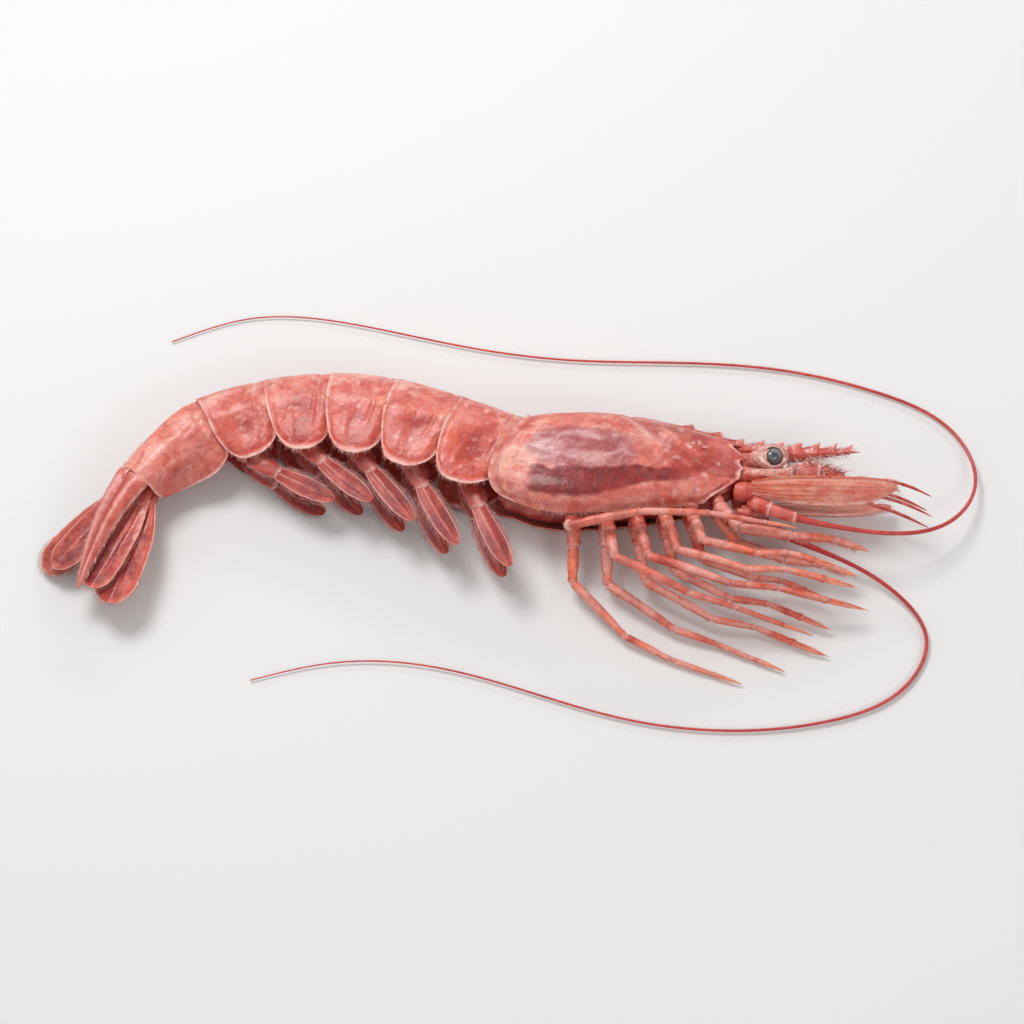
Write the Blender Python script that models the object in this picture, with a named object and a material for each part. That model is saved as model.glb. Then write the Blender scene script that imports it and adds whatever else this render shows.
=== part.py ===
"""A whole raw red shrimp, head on, lying on its left side.

Lengths in the tables are millimetres. The body follows a line in plan that
runs from the tip of the rostrum (s negative) past the back edge of the
carapace (s = 0) to the end of the tail fan (s positive). At each s the
section is set out by a width across the body (w, up and down as it lies), a
height towards the back (hd) and a depth towards the belly (b, and hv to the
edge of the side flaps). +X is towards the head, +Y towards the back, +Z is
the animal's right side, which is on top.
"""

import math

import bpy
import numpy as np
from mathutils import Vector

MM = 0.001
GAP = 0.35  # clearance between neighbouring pieces
ORIGIN = (-1.0, -11.9394)  # plan position of the part's origin, under the middle of its box

CARAPACE_LENGTH = 50.0  # eye socket to the carapace's back edge
ROSTRUM_TIP = -77.0
TELSON_TIP = 124.0
SEGMENT_ENDS = [0.0, 16.0, 31.0, 45.0, 59.0, 73.0, 95.0]  # abdomen segments 1 to 6
SLOPE = [4.2, 2.6, 1.6, 1.0, 0.6, 0.3, 0.0]  # how far each joint line slopes back towards the belly
TAIL_TWIST = 70.0  # degrees that the tail fan rolls so that its back faces up

# heading of the body line, degrees from straight back, positive towards the back
HEADING = [(-80, 3.0), (-52, 1.0), (-30, -1.0), (-12, -2.0), (-2, 4.0), (8, 12.0), (20, 13.5),
           (34, 6.5), (48, -4.0), (62, -17.0), (76, -34.0), (90, -52.0), (102, -65.0),
           (114, -74.0), (128, -80.0)]
# height of the body line above what it lies on
CENTRE_Z = [(-80, 12.2), (-60, 11.3), (-50, 10.9), (-30, 10.6), (-12, 10.7), (0, 9.7), (12, 9.4),
            (25, 9.2), (45, 8.5), (60, 7.8), (75, 7.6), (88, 8.6), (98, 9.6), (112, 9.6), (128, 8.8)]
HALF_WIDTH = [(0, 9.2), (10, 9.6), (25, 9.4), (45, 8.6), (60, 7.8), (75, 7.0), (88, 5.9), (97, 4.7)]
BACK = [(0, 9.2), (10, 9.8), (25, 10.0), (45, 9.5), (60, 8.7), (75, 7.9), (88, 6.5), (97, 5.0)]
BELLY = [(0, 6.6), (10, 7.2), (25, 7.2), (45, 6.8), (60, 6.2), (75, 5.6), (88, 4.8), (97, 4.2)]
FLAP = [(0, 12.0), (8, 12.8), (25, 12.9), (38, 12.4), (52, 11.8), (66, 10.8), (80, 7.6), (97, 4.6)]

CARAPACE_WIDTH = [(-50, 5.0), (-46, 6.2), (-40, 7.8), (-30, 9.6), (-18, 10.8), (-8, 10.8), (0, 10.0)]
CARAPACE_BACK = [(-50, 6.9), (-46, 7.9), (-40, 9.1), (-28, 11.0), (-15, 11.7), (-6, 11.1), (0, 10.1)]
CARAPACE_DEPTH = [(-50, 6.0), (-46, 7.7), (-40, 9.7), (-28, 12.6), (-15, 14.3), (-6, 14.2), (0, 12.8)]
ROSTRUM_TOP = [(-77, 9.5), (-70, 9.3), (-60, 8.6), (-50, 8.1)]
ROSTRUM_BOTTOM = [(-77, 9.0), (-70, 7.4), (-60, 5.8), (-50, 4.6)]
ROSTRUM_TEETH = [-74.5, -71.0, -67.2, -63.2, -59.0, -54.6, -50.0, -44.8, -38.5]
TOOTH = 1.3

RED = (0.50, 0.115, 0.085)
PINK = (0.62, 0.21, 0.17)
PALE = (0.72, 0.36, 0.24)
BLACK = (0.012, 0.011, 0.012)


# ---------------------------------------------------------------- the body line
def curve_through(table):
    """A natural cubic curve through a table's points, as a function."""
    x = np.array([p[0] for p in table], float)
    y = np.array([p[1] for p in table], float)
    n, h = len(x), np.diff(x)
    a, r = np.eye(n), np.zeros(n)
    for i in range(1, n - 1):
        a[i, i - 1 : i + 2] = h[i - 1], 2 * (h[i - 1] + h[i]), h[i]
        r[i] = 6 * ((y[i + 1] - y[i]) / h[i] - (y[i] - y[i - 1]) / h[i - 1])
    m = np.linalg.solve(a, r)

    def at(q):
        q = np.clip(np.asarray(q, float), x[0], x[-1])
        i = np.clip(np.searchsorted(x, q) - 1, 0, n - 2)
        t, u = q - x[i], x[i + 1] - q
        return ((m[i] * u**3 + m[i + 1] * t**3) / (6 * h[i])
                + (y[i] / h[i] - m[i] * h[i] / 6) * u + (y[i + 1] / h[i] - m[i + 1] * h[i] / 6) * t)

    return at


heading, centre_z = curve_through(HEADING), curve_through(CENTRE_Z)
half_width, back, belly, flap = (curve_through(t) for t in (HALF_WIDTH, BACK, BELLY, FLAP))
c_width, c_back, c_depth = (curve_through(t) for t in (CARAPACE_WIDTH, CARAPACE_BACK, CARAPACE_DEPTH))
r_top, r_bottom = curve_through(ROSTRUM_TOP), curve_through(ROSTRUM_BOTTOM)

LINE_S = np.arange(-90, 140.01, 0.25)
_psi = np.radians(heading(LINE_S))
_dx, _dy = -np.cos(_psi), np.sin(_psi)
_x = np.concatenate([[0], np.cumsum((_dx[1:] + _dx[:-1]) / 2) * 0.25])
_y = np.concatenate([[0], np.cumsum((_dy[1:] + _dy[:-1]) / 2) * 0.25])
LINE_X = _x - np.interp(0, LINE_S, _x)
LINE_Y = _y - np.interp(0, LINE_S, _y)


def frame(s):
    """Point on the body line at s, and the directions towards the tail, the back and the right side."""
    psi = math.radians(float(heading(s)))
    p = Vector((np.interp(s, LINE_S, LINE_X), np.interp(s, LINE_S, LINE_Y), float(centre_z(s))))
    t = Vector((-math.cos(psi), math.sin(psi), 0))
    d = Vector((math.sin(psi), math.cos(psi), 0))
    l = Vector((0, 0, 1))
    roll = math.radians(TAIL_TWIST) * smooth((s - 62) / 36)
    return p, t, d * math.cos(roll) + l * math.sin(roll), l * math.cos(roll) - d * math.sin(roll)


def smooth(t):
    t = min(1.0, max(0.0, t))
    return t * t * (3 - 2 * t)


def at_body(s, d, l):
    p, _, back_dir, side = frame(s)
    return p + back_dir * d + side * l


def placed(p):
    """Millimetres in the layout to metres from the part's origin, resting on z = 0."""
    return ((p[0] - ORIGIN[0]) * MM, (p[1] - ORIGIN[1]) * MM, max(p[2], 0.0) * MM)


# ---------------------------------------------------------------- making pieces
def clear_scene():
    for o in list(bpy.data.objects):
        bpy.data.objects.remove(o)


def material(name, colour, roughness, metallic=0.0):
    m = bpy.data.materials.new(name)
    m.use_nodes = True
    p = m.node_tree.nodes["Principled BSDF"]
    p.inputs["Base Color"].default_value = (*colour, 1)
    p.inputs["Roughness"].default_value = roughness
    p.inputs["Metallic"].default_value = metallic
    return m


def add_mesh(name, points, faces, mat):
    mesh = bpy.data.meshes.new(name)
    mesh.from_pydata([placed(p) for p in points], [], faces)
    mesh.validate()
    mesh.materials.append(mat)
    mesh.shade_smooth()
    mesh.set_sharp_from_angle(angle=math.radians(40))
    obj = bpy.data.objects.new(name, mesh)
    SHRIMP.objects.link(obj)
    return obj


def loft(name, rings, mat):
    """A closed solid through rings that all have the same number of points, with flat ends."""
    n = len(rings[0])
    points = [p for ring in rings for p in ring]
    faces = [(i * n + j, i * n + (j + 1) % n, (i + 1) * n + (j + 1) % n, (i + 1) * n + j)
             for i in range(len(rings) - 1) for j in range(n)]
    first, last = len(points), len(points) + 1
    points.append(sum(rings[0], Vector()) / n)
    points.append(sum(rings[-1], Vector()) / n)
    faces += [(first, (j + 1) % n, j) for j in range(n)]
    base = (len(rings) - 1) * n
    faces += [(last, base + j, base + (j + 1) % n) for j in range(n)]
    return add_mesh(name, points, faces, mat)


def both_sides(half):
    """A whole section, from the middle of the back round by the right side, from its right half."""
    return half + [(-l, d) for l, d in reversed(half[1:-1])]


def ring_at(s, section, slope=0.0):
    """A section set across the body line at s. slope carries its belly edge back by that many millimetres."""
    ring = []
    for across, up in reversed(section):
        p, _, d, l = frame(s + slope * (10 - up) / 23)
        ring.append(p + l * across + d * up)
    return ring


def round_curve(name, points, radii, mat, sides=1):
    """A round bar through millimetre points, with a radius at each, closed at both ends."""
    curve = bpy.data.curves.new(name, "CURVE")
    curve.dimensions = "3D"
    curve.bevel_depth = 1.0 * MM
    curve.bevel_resolution = sides
    curve.use_fill_caps = True
    spline = curve.splines.new("POLY")
    spline.points.add(len(points) - 1)
    for end, p, r in zip(spline.points, points, radii):
        end.co = (*placed(p), 1)
        end.radius = float(r)
    curve.materials.append(mat)
    obj = bpy.data.objects.new(name, curve)
    SHRIMP.objects.link(obj)
    return obj


def jointed_limb(name, joints, radii, mat, knee=1.3):
    """A limb of straight articles with short bends at its joints."""
    joints = [Vector(p) for p in joints]
    points, sizes = [joints[0]], [radii[0]]
    for before, at, after, r in zip(joints, joints[1:], joints[2:], radii[1:]):
        points += [at + (before - at).normalized() * knee, at + (after - at).normalized() * knee]
        sizes += [r * 1.06, r * 1.02]
    return round_curve(name, points + [joints[-1]], sizes + [radii[-1]], mat)


def tube(name, route, radii, mat, points=12):
    """A feeler or stalk: a tapered bar on a smooth curve through a few points."""
    route = [Vector(p) for p in route]
    length = np.concatenate([[0], np.cumsum([(b - a).length for a, b in zip(route, route[1:])])])
    coords = [curve_through(list(zip(length, [p[k] for p in route]))) for k in range(3)]
    width = curve_through(list(zip(length, radii)))
    at = np.linspace(0, length[-1], points)
    return round_curve(name, [[float(c(q)) for c in coords] for q in at], [float(width(q)) for q in at], mat)


# ---------------------------------------------------------------- shell
def carapace_half(s):
    w, hd, hv = float(c_width(s)), float(c_back(s)), float(c_depth(s))
    ridge = 0.5 * (1 - smooth((s + 14) / 12))
    half = [(0, hd + ridge)]
    for a in (14, 32, 52, 72, 90):
        q = math.radians(a)
        half.append((w * math.sin(q) ** 0.95, hd * math.cos(q) ** 0.92))
    for t, part in ((0.32, 0.985), (0.62, 0.93), (0.84, 0.83), (0.96, 0.68), (1.0, 0.50), (0.93, 0.36), (0.86, 0.18)):
        half.append((w * part, -hv * t))
    half.append((0, -hv * 0.84))
    return half


def rostrum_half(s, tooth):
    top, bottom = float(r_top(s)) + tooth, float(r_bottom(s))
    w = 0.45 + 1.0 * smooth((s + 77) / 30)
    n = len(carapace_half(-50))
    half = []
    for i in range(n):
        a = math.pi * i / (n - 1)
        half.append((w * math.sin(a), (top + bottom) / 2 + (top - bottom) / 2 * math.cos(a)))
    return half


def make_carapace():
    rings = []
    stations = [ROSTRUM_TIP]
    for t in ROSTRUM_TEETH:
        if t < -50:
            stations += [t - 0.1, t + 2.6]
    for s in sorted(stations):
        near = [t for t in ROSTRUM_TEETH if abs(t - 0.1 - s) < 0.05]
        rings.append(ring_at(s, both_sides(rostrum_half(s, TOOTH if near else 0.0))))
    rings.append(ring_at(-51.0, both_sides(rostrum_half(-51.0, 0.0))))
    for s in (-50.0, -48.0, -45.0, -40.5, -35.0, -29.0, -22.5, -16.0, -9.5, -4.0, -GAP / 2):
        half = carapace_half(s)
        if any(abs(t - s) < 1.0 for t in ROSTRUM_TEETH):
            half[0] = (0, half[0][1] + 1.0)
        rings.append(ring_at(s, both_sides(half), SLOPE[0] * smooth((s + 20) / 20)))
    return loft("carapace", rings, SHELL)


def segment_half(s, lobe, proud):
    """Half of an abdomen section. lobe is how much of the side flap there is, proud how far the plate stands out."""
    w, hd, b = float(half_width(s)) + proud, float(back(s)) + proud, float(belly(s))
    hv = b * 0.62 + (float(flap(s)) - b * 0.62) * lobe
    keel = 0.7 * smooth((s - 36) / 16)
    half = [(0, hd + keel)]
    for a in (12, 32, 52, 72, 90):
        q = math.radians(a)
        half.append((w * math.sin(q) ** 0.94, hd * math.cos(q) ** 0.92))
    for t in (0.4, 0.75, 1.0):
        half.append((w * (1 - 0.12 * t**2), -hv * t))
    half += [(w * 0.88 - 1.1, -hv * 0.97), (w * 0.66, -b * 0.80), (w * 0.36, -b * 0.98), (0, -b)]
    return half


def make_segment(i):
    s0, s1 = SEGMENT_ENDS[i - 1] + GAP / 2, SEGMENT_ENDS[i] - GAP / 2
    rings = []
    for t in (0, 0.08, 0.22, 0.42, 0.62, 0.82, 0.95, 1.0):
        s = s0 + (s1 - s0) * t
        u = abs(2 * (0.06 + 0.88 * t) - 1)
        lobe = (1 - u**3.2) ** (1 / 1.8)
        proud = -0.55 + 0.75 * smooth(t * 1.1)
        rings.append(ring_at(s, both_sides(segment_half(s, lobe, proud)), SLOPE[i - 1] * (1 - t) + SLOPE[i] * t))
    return loft(f"abdomen_{i}", rings, SHELL)


# ---------------------------------------------------------------- tail fan
def blade(name, start, toward, flat, length, widths, thick, mat):
    """A thin leaf-shaped plate: start point, direction, the direction across it, its length and half-widths."""
    toward, flat = toward.normalized(), flat.normalized()
    up = toward.cross(flat).normalized()
    flat = up.cross(toward)
    outline = curve_through([(i / (len(widths) - 1), v) for i, v in enumerate(widths)])
    rings = []
    for t in np.linspace(0, 1, 9):
        w = max(0.35, float(outline(t)))
        h = thick / 2 * (1 - 0.55 * t)
        c = start + toward * (length * t)
        rings.append([c + flat * (w * math.cos(a)) + up * (h * math.sin(a))
                      for a in np.linspace(0, 2 * math.pi, 8, endpoint=False)])
    return loft(name, rings, mat)


def make_tail():
    rings = []
    for t in np.linspace(0, 1, 9):
        s = 95 + GAP / 2 + (TELSON_TIP - 95 - GAP / 2) * t
        w = 4.0 * (1 - t) ** 0.8 + 0.45
        h = 2.3 * (1 - t) ** 0.7 + 0.5
        mid = 2.2 * (1 - t) + 0.6
        section = [(0, mid + h * 0.85), (w * 0.55, mid + h), (w, mid), (w * 0.6, mid - h * 0.7), (0, mid - h * 0.8)]
        rings.append(ring_at(s, both_sides(section)))
    loft("telson", rings, SHELL)
    p, t, d, l = frame(96.5)
    for side, sign in (("right", 1), ("left", -1)):
        start = p + t * 0.6 + l * (sign * 2.8) - d * 1.45
        spread = 1.0 if sign > 0 else 0.55
        blade(f"uropod_inner_{side}", start, t + l * (sign * 0.17 * spread) - d * 0.05, l * sign, 25.0,
              [1.5, 2.8, 3.6, 4.0, 4.1, 3.9, 3.2, 1.5], 1.2, SHELL)
        start = p + t * 0.2 + l * (sign * 3.2) - d * 3.3
        blade(f"uropod_outer_{side}", start, t + l * (sign * 0.35 * spread) - d * 0.06, l * sign, 27.0,
              [1.6, 3.2, 4.5, 5.2, 5.4, 5.1, 4.1, 1.9], 1.3, SHELL)


# ---------------------------------------------------------------- head
def ellipsoid(name, centre, toward, radii, mat):
    bpy.ops.mesh.primitive_uv_sphere_add(segments=14, ring_count=9, radius=1.0)
    obj = bpy.context.object
    obj.name = obj.data.name = name
    turn = Vector(toward).to_track_quat("Z", "Y").to_matrix().to_4x4()
    for v in obj.data.vertices:
        v.co = Vector((v.co.x * radii[0], v.co.y * radii[1], v.co.z * radii[2])) * MM
    obj.data.transform(turn)
    obj.location = placed(centre)
    obj.data.materials.append(mat)
    obj.data.shade_smooth()
    for c in list(obj.users_collection):
        c.objects.unlink(obj)
    SHRIMP.objects.link(obj)
    return obj


def make_head():
    p, t, d, l = frame(-50)
    f = -t
    for side, sign in (("right", 1), ("left", -1)):
        out = l * sign
        root, tip = p + d * 3.3 + out * 1.95 + f * 1.9, p + d * 3.5 + out * 3.6 + f * 4.3
        tube(f"eyestalk_{side}", [root, (root + tip) / 2, tip], [1.6, 1.8, 2.0], FLESH, 4)
        ellipsoid(f"eye_{side}", p + d * 3.6 + out * 5.5 + f * 7.3, f * 0.55 + out * 0.8, (3.0, 3.3, 2.7), EYE)
        base = p + f * 0.9 - d * 5.0 + out * 2.75
        tube(f"antennal_base_{side}", [base, base + f * 2.6 + out * 0.1, base + f * 5.6 + out * 0.2], [2.2, 2.25, 1.95], PALE_SHELL, 5)
        start = p + f * 3.6 - d * 4.9 + out * 6.3
        blade(f"antennal_scale_{side}", start, f + d * 0.11 - out * 0.015,
              out * 0.67 + d * 0.74, 33.0, [1.7, 2.8, 3.5, 3.9, 3.9, 3.5, 2.6, 0.8], 1.3, PALE_SHELL)
        base = p + f * 0.9 - d * 0.5 + out * 2.25
        tube(f"antennule_{side}", [base, base + f * 10 - d * 0.2, base + f * 20 + d * 0.9, base + f * 30 + d * 1.9 + out,
                                   base + f * 37 + d * 1.1 + out * 1.8, base + f * 43 - d * 1.1 + out * 2.0],
             [1.75, 2.0, 1.6, 0.6, 0.5, 0.42], FLESH, 14)
        base = p + f * 24.4 - d * 1.5 + out * 2.15
        tube(f"antennule_lower_{side}", [base, base + f * 8 - d * 0.9 + out * 0.8, base + f * 14 - d * 2.3 + out * 1.2,
                                         base + f * 20 - d * 4.6 + out * 1.2], [0.55, 0.5, 0.46, 0.4], FLESH, 9)
    tube("mouthparts", [p + f * 6.2 - d * 8.3, p + f * 3.4 - d * 9.0, p + f * 0.6 - d * 9.6], [1.8, 2.1, 1.4], FLESH, 6)


FEELERS = {
    "antenna_right": [(54.4, -8.0, 15.6), (60, -9.8, 15.8), (72, -11.2, 14.6), (86, -10.5, 12.0), (99, -4.5, 7.4), (105, 8, 3.4),
                      (99, 21, 1.5), (82, 29, 1.0), (60, 32.5, 1.0), (34, 32.0, 1.0), (8, 30.0, 1.0), (-18, 31.0, 1.0),
                      (-44, 34.0, 1.0), (-68, 33.0, 0.8), (-86, 25.0, 0.7)],
    "antenna_left": [(54.2, -7.9, 6.2), (61, -10.6, 5.5), (74, -14.5, 4.0), (88, -21.0, 2.4), (96, -31, 1.3), (92, -43, 1.0),
                     (77, -52.5, 1.0), (55, -57.5, 1.0), (30, -57.5, 1.0), (6, -53.0, 1.0), (-16, -49.5, 1.0), (-38, -51.0, 0.9),
                     (-56, -57.0, 0.7)],
}

# each limb: the station of its root under the carapace, then the joints of its route out to the tip
LIMBS = {
    "maxilliped_right": (-45.5, [(51, -13.6, 13.8), (63, -14.0, 13.4), (73, -13.2, 11.4), (81, -14.6, 9.8)]),
    "maxilliped_left": (-45.5, [(51, -15.4, 8.6), (62, -17.8, 7.8), (71, -17.6, 6.6), (79, -19.4, 5.6)]),
    "leg_1_right": (-39.5, [(43, -17.8, 14.6), (55.5, -19.8, 15.0), (62.5, -18.2, 13.2), (74, -19.4, 10.6)]),
    "leg_1_left": (-39.5, [(43.5, -19.6, 7.6), (55, -22.6, 6.8), (62, -22.2, 5.6), (73, -25.4, 4.2)]),
    "leg_2_right": (-33.5, [(37.5, -20.6, 14.6), (53.5, -23.8, 15.0), (62.5, -22.0, 12.6), (79, -23.2, 8.6)]),
    "leg_2_left": (-33.5, [(37.5, -22.8, 6.6), (50.5, -27.6, 5.4), (59.5, -27.6, 4.2), (74, -31.6, 2.2)]),
    "leg_3_right": (-27.0, [(31, -22.8, 14.8), (50, -27.4, 14.4), (61, -26.2, 11.2), (82, -27.2, 5.4)]),
    "leg_3_left": (-27.0, [(31, -25.6, 5.4), (47, -32.4, 3.8), (57, -33.0, 2.6), (74, -37.8, 1.2)]),
    "leg_4_right": (-20.0, [(23.5, -23.8, 15.0), (41.0, -30.4, 13.6), (51.5, -31.4, 10.4), (70.0, -34.4, 4.6)]),
    "leg_4_left": (-20.0, [(22.5, -27.0, 5.0), (38.5, -35.4, 2.8), (48.5, -37.6, 1.7), (64.5, -42.4, 1.0)]),
    "leg_5_right": (-13.0, [(12.5, -18.4, 17.2), (28.5, -14.4, 20.2), (44, -12.6, 18.8), (64, -13.6, 17.2)]),
    "leg_5_left": (-13.0, [(14.5, -27.4, 5.2), (27.5, -38.2, 2.6), (38.5, -42.4, 1.5), (55.0, -46.4, 1.0)]),
}
LIMB_RADII = {"maxilliped": [1.5, 1.35, 1.1, 0.95, 0.5], "leg": [1.5, 1.12, 0.88, 0.7, 0.38]}


def make_limbs():
    for name, route in FEELERS.items():
        radii = [1.7, 1.25] + [0.85 - 0.5 * i / (len(route) - 3) for i in range(len(route) - 2)]
        tube(name, route, radii, FEELER, 60)
    for name, (s, route) in LIMBS.items():
        root = at_body(s, -0.9 * float(c_depth(s)) - 1.45, 2.3 if name.endswith("right") else -2.3)
        jointed_limb(name, [root] + route, LIMB_RADII[name.split("_")[0]], PALE_SHELL)


def make_swimmerets():
    for i in range(1, 6):
        s = SEGMENT_ENDS[i - 1] * 0.5 + SEGMENT_ENDS[i] * 0.5 + (2.2 if i == 1 else 1.0)
        b = float(belly(s))
        long = 19.2 - 0.7 * i
        for side, sign in (("right", 1), ("left", -1)):
            p, t, d, l = frame(s)
            lean = (1.0 if i > 1 else 0.92) if sign > 0 else 0.84
            root = p - d * (b + (3.2 if i == 5 else 0.7)) + l * (sign * 3.3)
            rings = []
            for q, thick, broad in ((0, 1.5, 1.9), (0.1, 1.7, 2.3), (0.3, 1.5, 2.1), (0.42, 1.0, 1.5), (0.6, 1.0, 2.0),
                                    (0.82, 0.8, 1.5), (1.0, 0.35, 0.45)):
                c = root - d * (long * q) - t * (long * lean * q**1.25) + l * ((0.7 if sign > 0 else -0.2) * math.sin(2.4 * q))
                axis = (-d - t * (lean * 1.25 * q**0.25)).normalized()
                across = axis.cross(l).normalized()
                rings.append([c - across * (broad * math.cos(a)) + l * (thick * math.sin(a))
                              for a in np.linspace(0, 2 * math.pi, 8, endpoint=False)])
            loft(f"swimmeret_{i}_{side}", rings, FLESH)


clear_scene()
SHRIMP = bpy.data.collections.new("raw_shrimp")
bpy.context.scene.collection.children.link(SHRIMP)
SHELL = material("shell", RED, 0.3)
PALE_SHELL = material("limb_shell", PALE, 0.35)
FLESH = material("soft_parts", PINK, 0.4)
FEELER = material("feeler", RED, 0.4)
EYE = material("eye", BLACK, 0.12)

make_carapace()
for number in range(1, 7):
    make_segment(number)
make_tail()
make_head()
make_limbs()
make_swimmerets()
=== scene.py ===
"""Looks of the raw red shrimp: wet mottled shell plates, carapace with rostrum, stalked eyes, limbs, swimmerets, tail fan
and feelers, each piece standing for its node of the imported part. Lengths in the tables are millimetres in the layout
that the part was designed in; ORIGIN takes them to the part's own frame."""

import math

import bpy
import numpy as np
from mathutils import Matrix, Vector


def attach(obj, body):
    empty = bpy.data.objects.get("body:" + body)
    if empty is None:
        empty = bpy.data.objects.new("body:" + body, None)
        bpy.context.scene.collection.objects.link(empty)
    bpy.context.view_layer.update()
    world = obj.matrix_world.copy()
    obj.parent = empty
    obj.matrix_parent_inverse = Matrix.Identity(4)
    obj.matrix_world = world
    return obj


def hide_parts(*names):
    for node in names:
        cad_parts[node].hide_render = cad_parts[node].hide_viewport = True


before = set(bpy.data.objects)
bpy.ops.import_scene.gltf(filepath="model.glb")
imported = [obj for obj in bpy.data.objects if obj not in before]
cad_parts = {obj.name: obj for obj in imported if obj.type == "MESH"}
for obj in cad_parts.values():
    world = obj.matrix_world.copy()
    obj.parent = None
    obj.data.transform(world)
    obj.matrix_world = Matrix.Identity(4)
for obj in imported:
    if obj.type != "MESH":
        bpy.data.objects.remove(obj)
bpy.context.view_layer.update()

MM = 0.001
ORIGIN = np.array([-1.0, -11.9394, 0.0])
SEGMENT_ENDS = [0.0, 16.0, 31.0, 45.0, 59.0, 73.0, 95.0]
SLOPE = [4.2, 2.6, 1.6, 1.0, 0.6, 0.3, 0.0]
TAIL_TWIST = 70.0
TELSON_TIP = 124.0
HEADING = [(-80, 3.0), (-52, 1.0), (-30, -1.0), (-12, -2.0), (-2, 4.0), (8, 12.0), (20, 13.5),
           (34, 6.5), (48, -4.0), (62, -17.0), (76, -34.0), (90, -52.0), (102, -65.0),
           (114, -74.0), (128, -80.0)]
CENTRE_Z = [(-80, 12.2), (-60, 11.3), (-50, 10.9), (-30, 10.6), (-12, 10.7), (0, 9.7), (12, 9.4),
            (25, 9.2), (45, 8.5), (60, 7.8), (75, 7.6), (88, 8.6), (98, 9.6), (112, 9.6), (128, 8.8)]
HALF_WIDTH = [(0, 9.2), (10, 9.6), (25, 9.4), (45, 8.6), (60, 7.8), (75, 7.0), (88, 5.9), (97, 4.7)]
BACK = [(0, 9.2), (10, 9.8), (25, 10.0), (45, 9.5), (60, 8.7), (75, 7.9), (88, 6.5), (97, 5.0)]
BELLY = [(0, 6.6), (10, 7.2), (25, 7.2), (45, 6.8), (60, 6.2), (75, 5.6), (88, 4.8), (97, 4.2)]
FLAP = [(0, 12.0), (8, 12.8), (25, 12.9), (38, 12.4), (52, 11.8), (66, 10.8), (80, 7.6), (97, 4.6)]
CARAPACE_WIDTH = [(-50, 5.0), (-46, 6.2), (-40, 7.8), (-30, 9.6), (-18, 10.8), (-8, 10.8), (0, 10.0)]
CARAPACE_BACK = [(-50, 6.9), (-46, 7.9), (-40, 9.1), (-28, 11.0), (-15, 11.7), (-6, 11.1), (0, 10.1)]
CARAPACE_DEPTH = [(-50, 6.0), (-46, 7.7), (-40, 9.7), (-28, 12.6), (-15, 14.3), (-6, 14.2), (0, 12.8)]
ROSTRUM_TOP = [(-77, 9.5), (-70, 9.3), (-60, 8.6), (-50, 8.1)]
ROSTRUM_BOTTOM = [(-77, 9.0), (-70, 7.4), (-60, 5.8), (-50, 4.6)]
TEETH = [-74.5, -71.0, -67.2, -63.2, -59.0, -54.6, -50.0, -44.8, -38.5]
FEELERS = {
    "right": [(54.4, -8.0, 15.6), (60, -9.8, 15.8), (72, -11.2, 14.6), (86, -10.5, 12.0), (99, -4.5, 7.4), (105, 8, 3.4),
              (99, 21, 1.5), (82, 29, 1.0), (60, 32.5, 1.0), (34, 32.0, 1.0), (8, 30.0, 1.0), (-18, 31.0, 1.0),
              (-44, 34.0, 1.0), (-68, 33.0, 0.8), (-86, 25.0, 0.7)],
    "left": [(54.2, -7.9, 6.2), (61, -10.6, 5.5), (74, -14.5, 4.0), (88, -21.0, 2.4), (96, -31, 1.3), (92, -43, 1.0),
             (77, -52.5, 1.0), (55, -57.5, 1.0), (30, -57.5, 1.0), (6, -53.0, 1.0), (-16, -49.5, 1.0), (-38, -51.0, 0.9),
             (-56, -57.0, 0.7)],
}
LIMBS = {
    "maxilliped_right": (-45.5, [(51, -13.6, 13.8), (63, -14.0, 13.4), (73, -13.2, 11.4), (81, -14.6, 9.8)]),
    "maxilliped_left": (-45.5, [(51, -15.4, 8.6), (62, -17.8, 7.8), (71, -17.6, 6.6), (79, -19.4, 5.6)]),
    "leg_1_right": (-39.5, [(43, -17.8, 14.6), (55.5, -19.8, 15.0), (62.5, -18.2, 13.2), (74, -19.4, 10.6)]),
    "leg_1_left": (-39.5, [(43.5, -19.6, 7.6), (55, -22.6, 6.8), (62, -22.2, 5.6), (73, -25.4, 4.2)]),
    "leg_2_right": (-33.5, [(37.5, -20.6, 14.6), (53.5, -23.8, 15.0), (62.5, -22.0, 12.6), (79, -23.2, 8.6)]),
    "leg_2_left": (-33.5, [(37.5, -22.8, 6.6), (50.5, -27.6, 5.4), (59.5, -27.6, 4.2), (74, -31.6, 2.2)]),
    "leg_3_right": (-27.0, [(31, -22.8, 14.8), (50, -27.4, 14.4), (61, -26.2, 11.2), (82, -27.2, 5.4)]),
    "leg_3_left": (-27.0, [(31, -25.6, 5.4), (47, -32.4, 3.8), (57, -33.0, 2.6), (74, -37.8, 1.2)]),
    "leg_4_right": (-20.0, [(23.5, -23.8, 15.0), (41.0, -30.4, 13.6), (51.5, -31.4, 10.4), (70.0, -34.4, 4.6)]),
    "leg_4_left": (-20.0, [(22.5, -27.0, 5.0), (38.5, -35.4, 2.8), (48.5, -37.6, 1.7), (64.5, -42.4, 1.0)]),
    "leg_5_right": (-13.0, [(12.5, -18.4, 17.2), (28.5, -14.4, 20.2), (44, -12.6, 18.8), (64, -13.6, 17.2)]),
    "leg_5_left": (-13.0, [(14.5, -27.4, 5.2), (27.5, -38.2, 2.6), (38.5, -42.4, 1.5), (55.0, -46.4, 1.0)]),
}
LIMB_RADII = {"maxilliped": [1.5, 1.35, 1.1, 0.95, 0.5], "leg": [1.5, 1.12, 0.88, 0.7, 0.38]}
SIDES = (("right", 1.0), ("left", -1.0))


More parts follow.
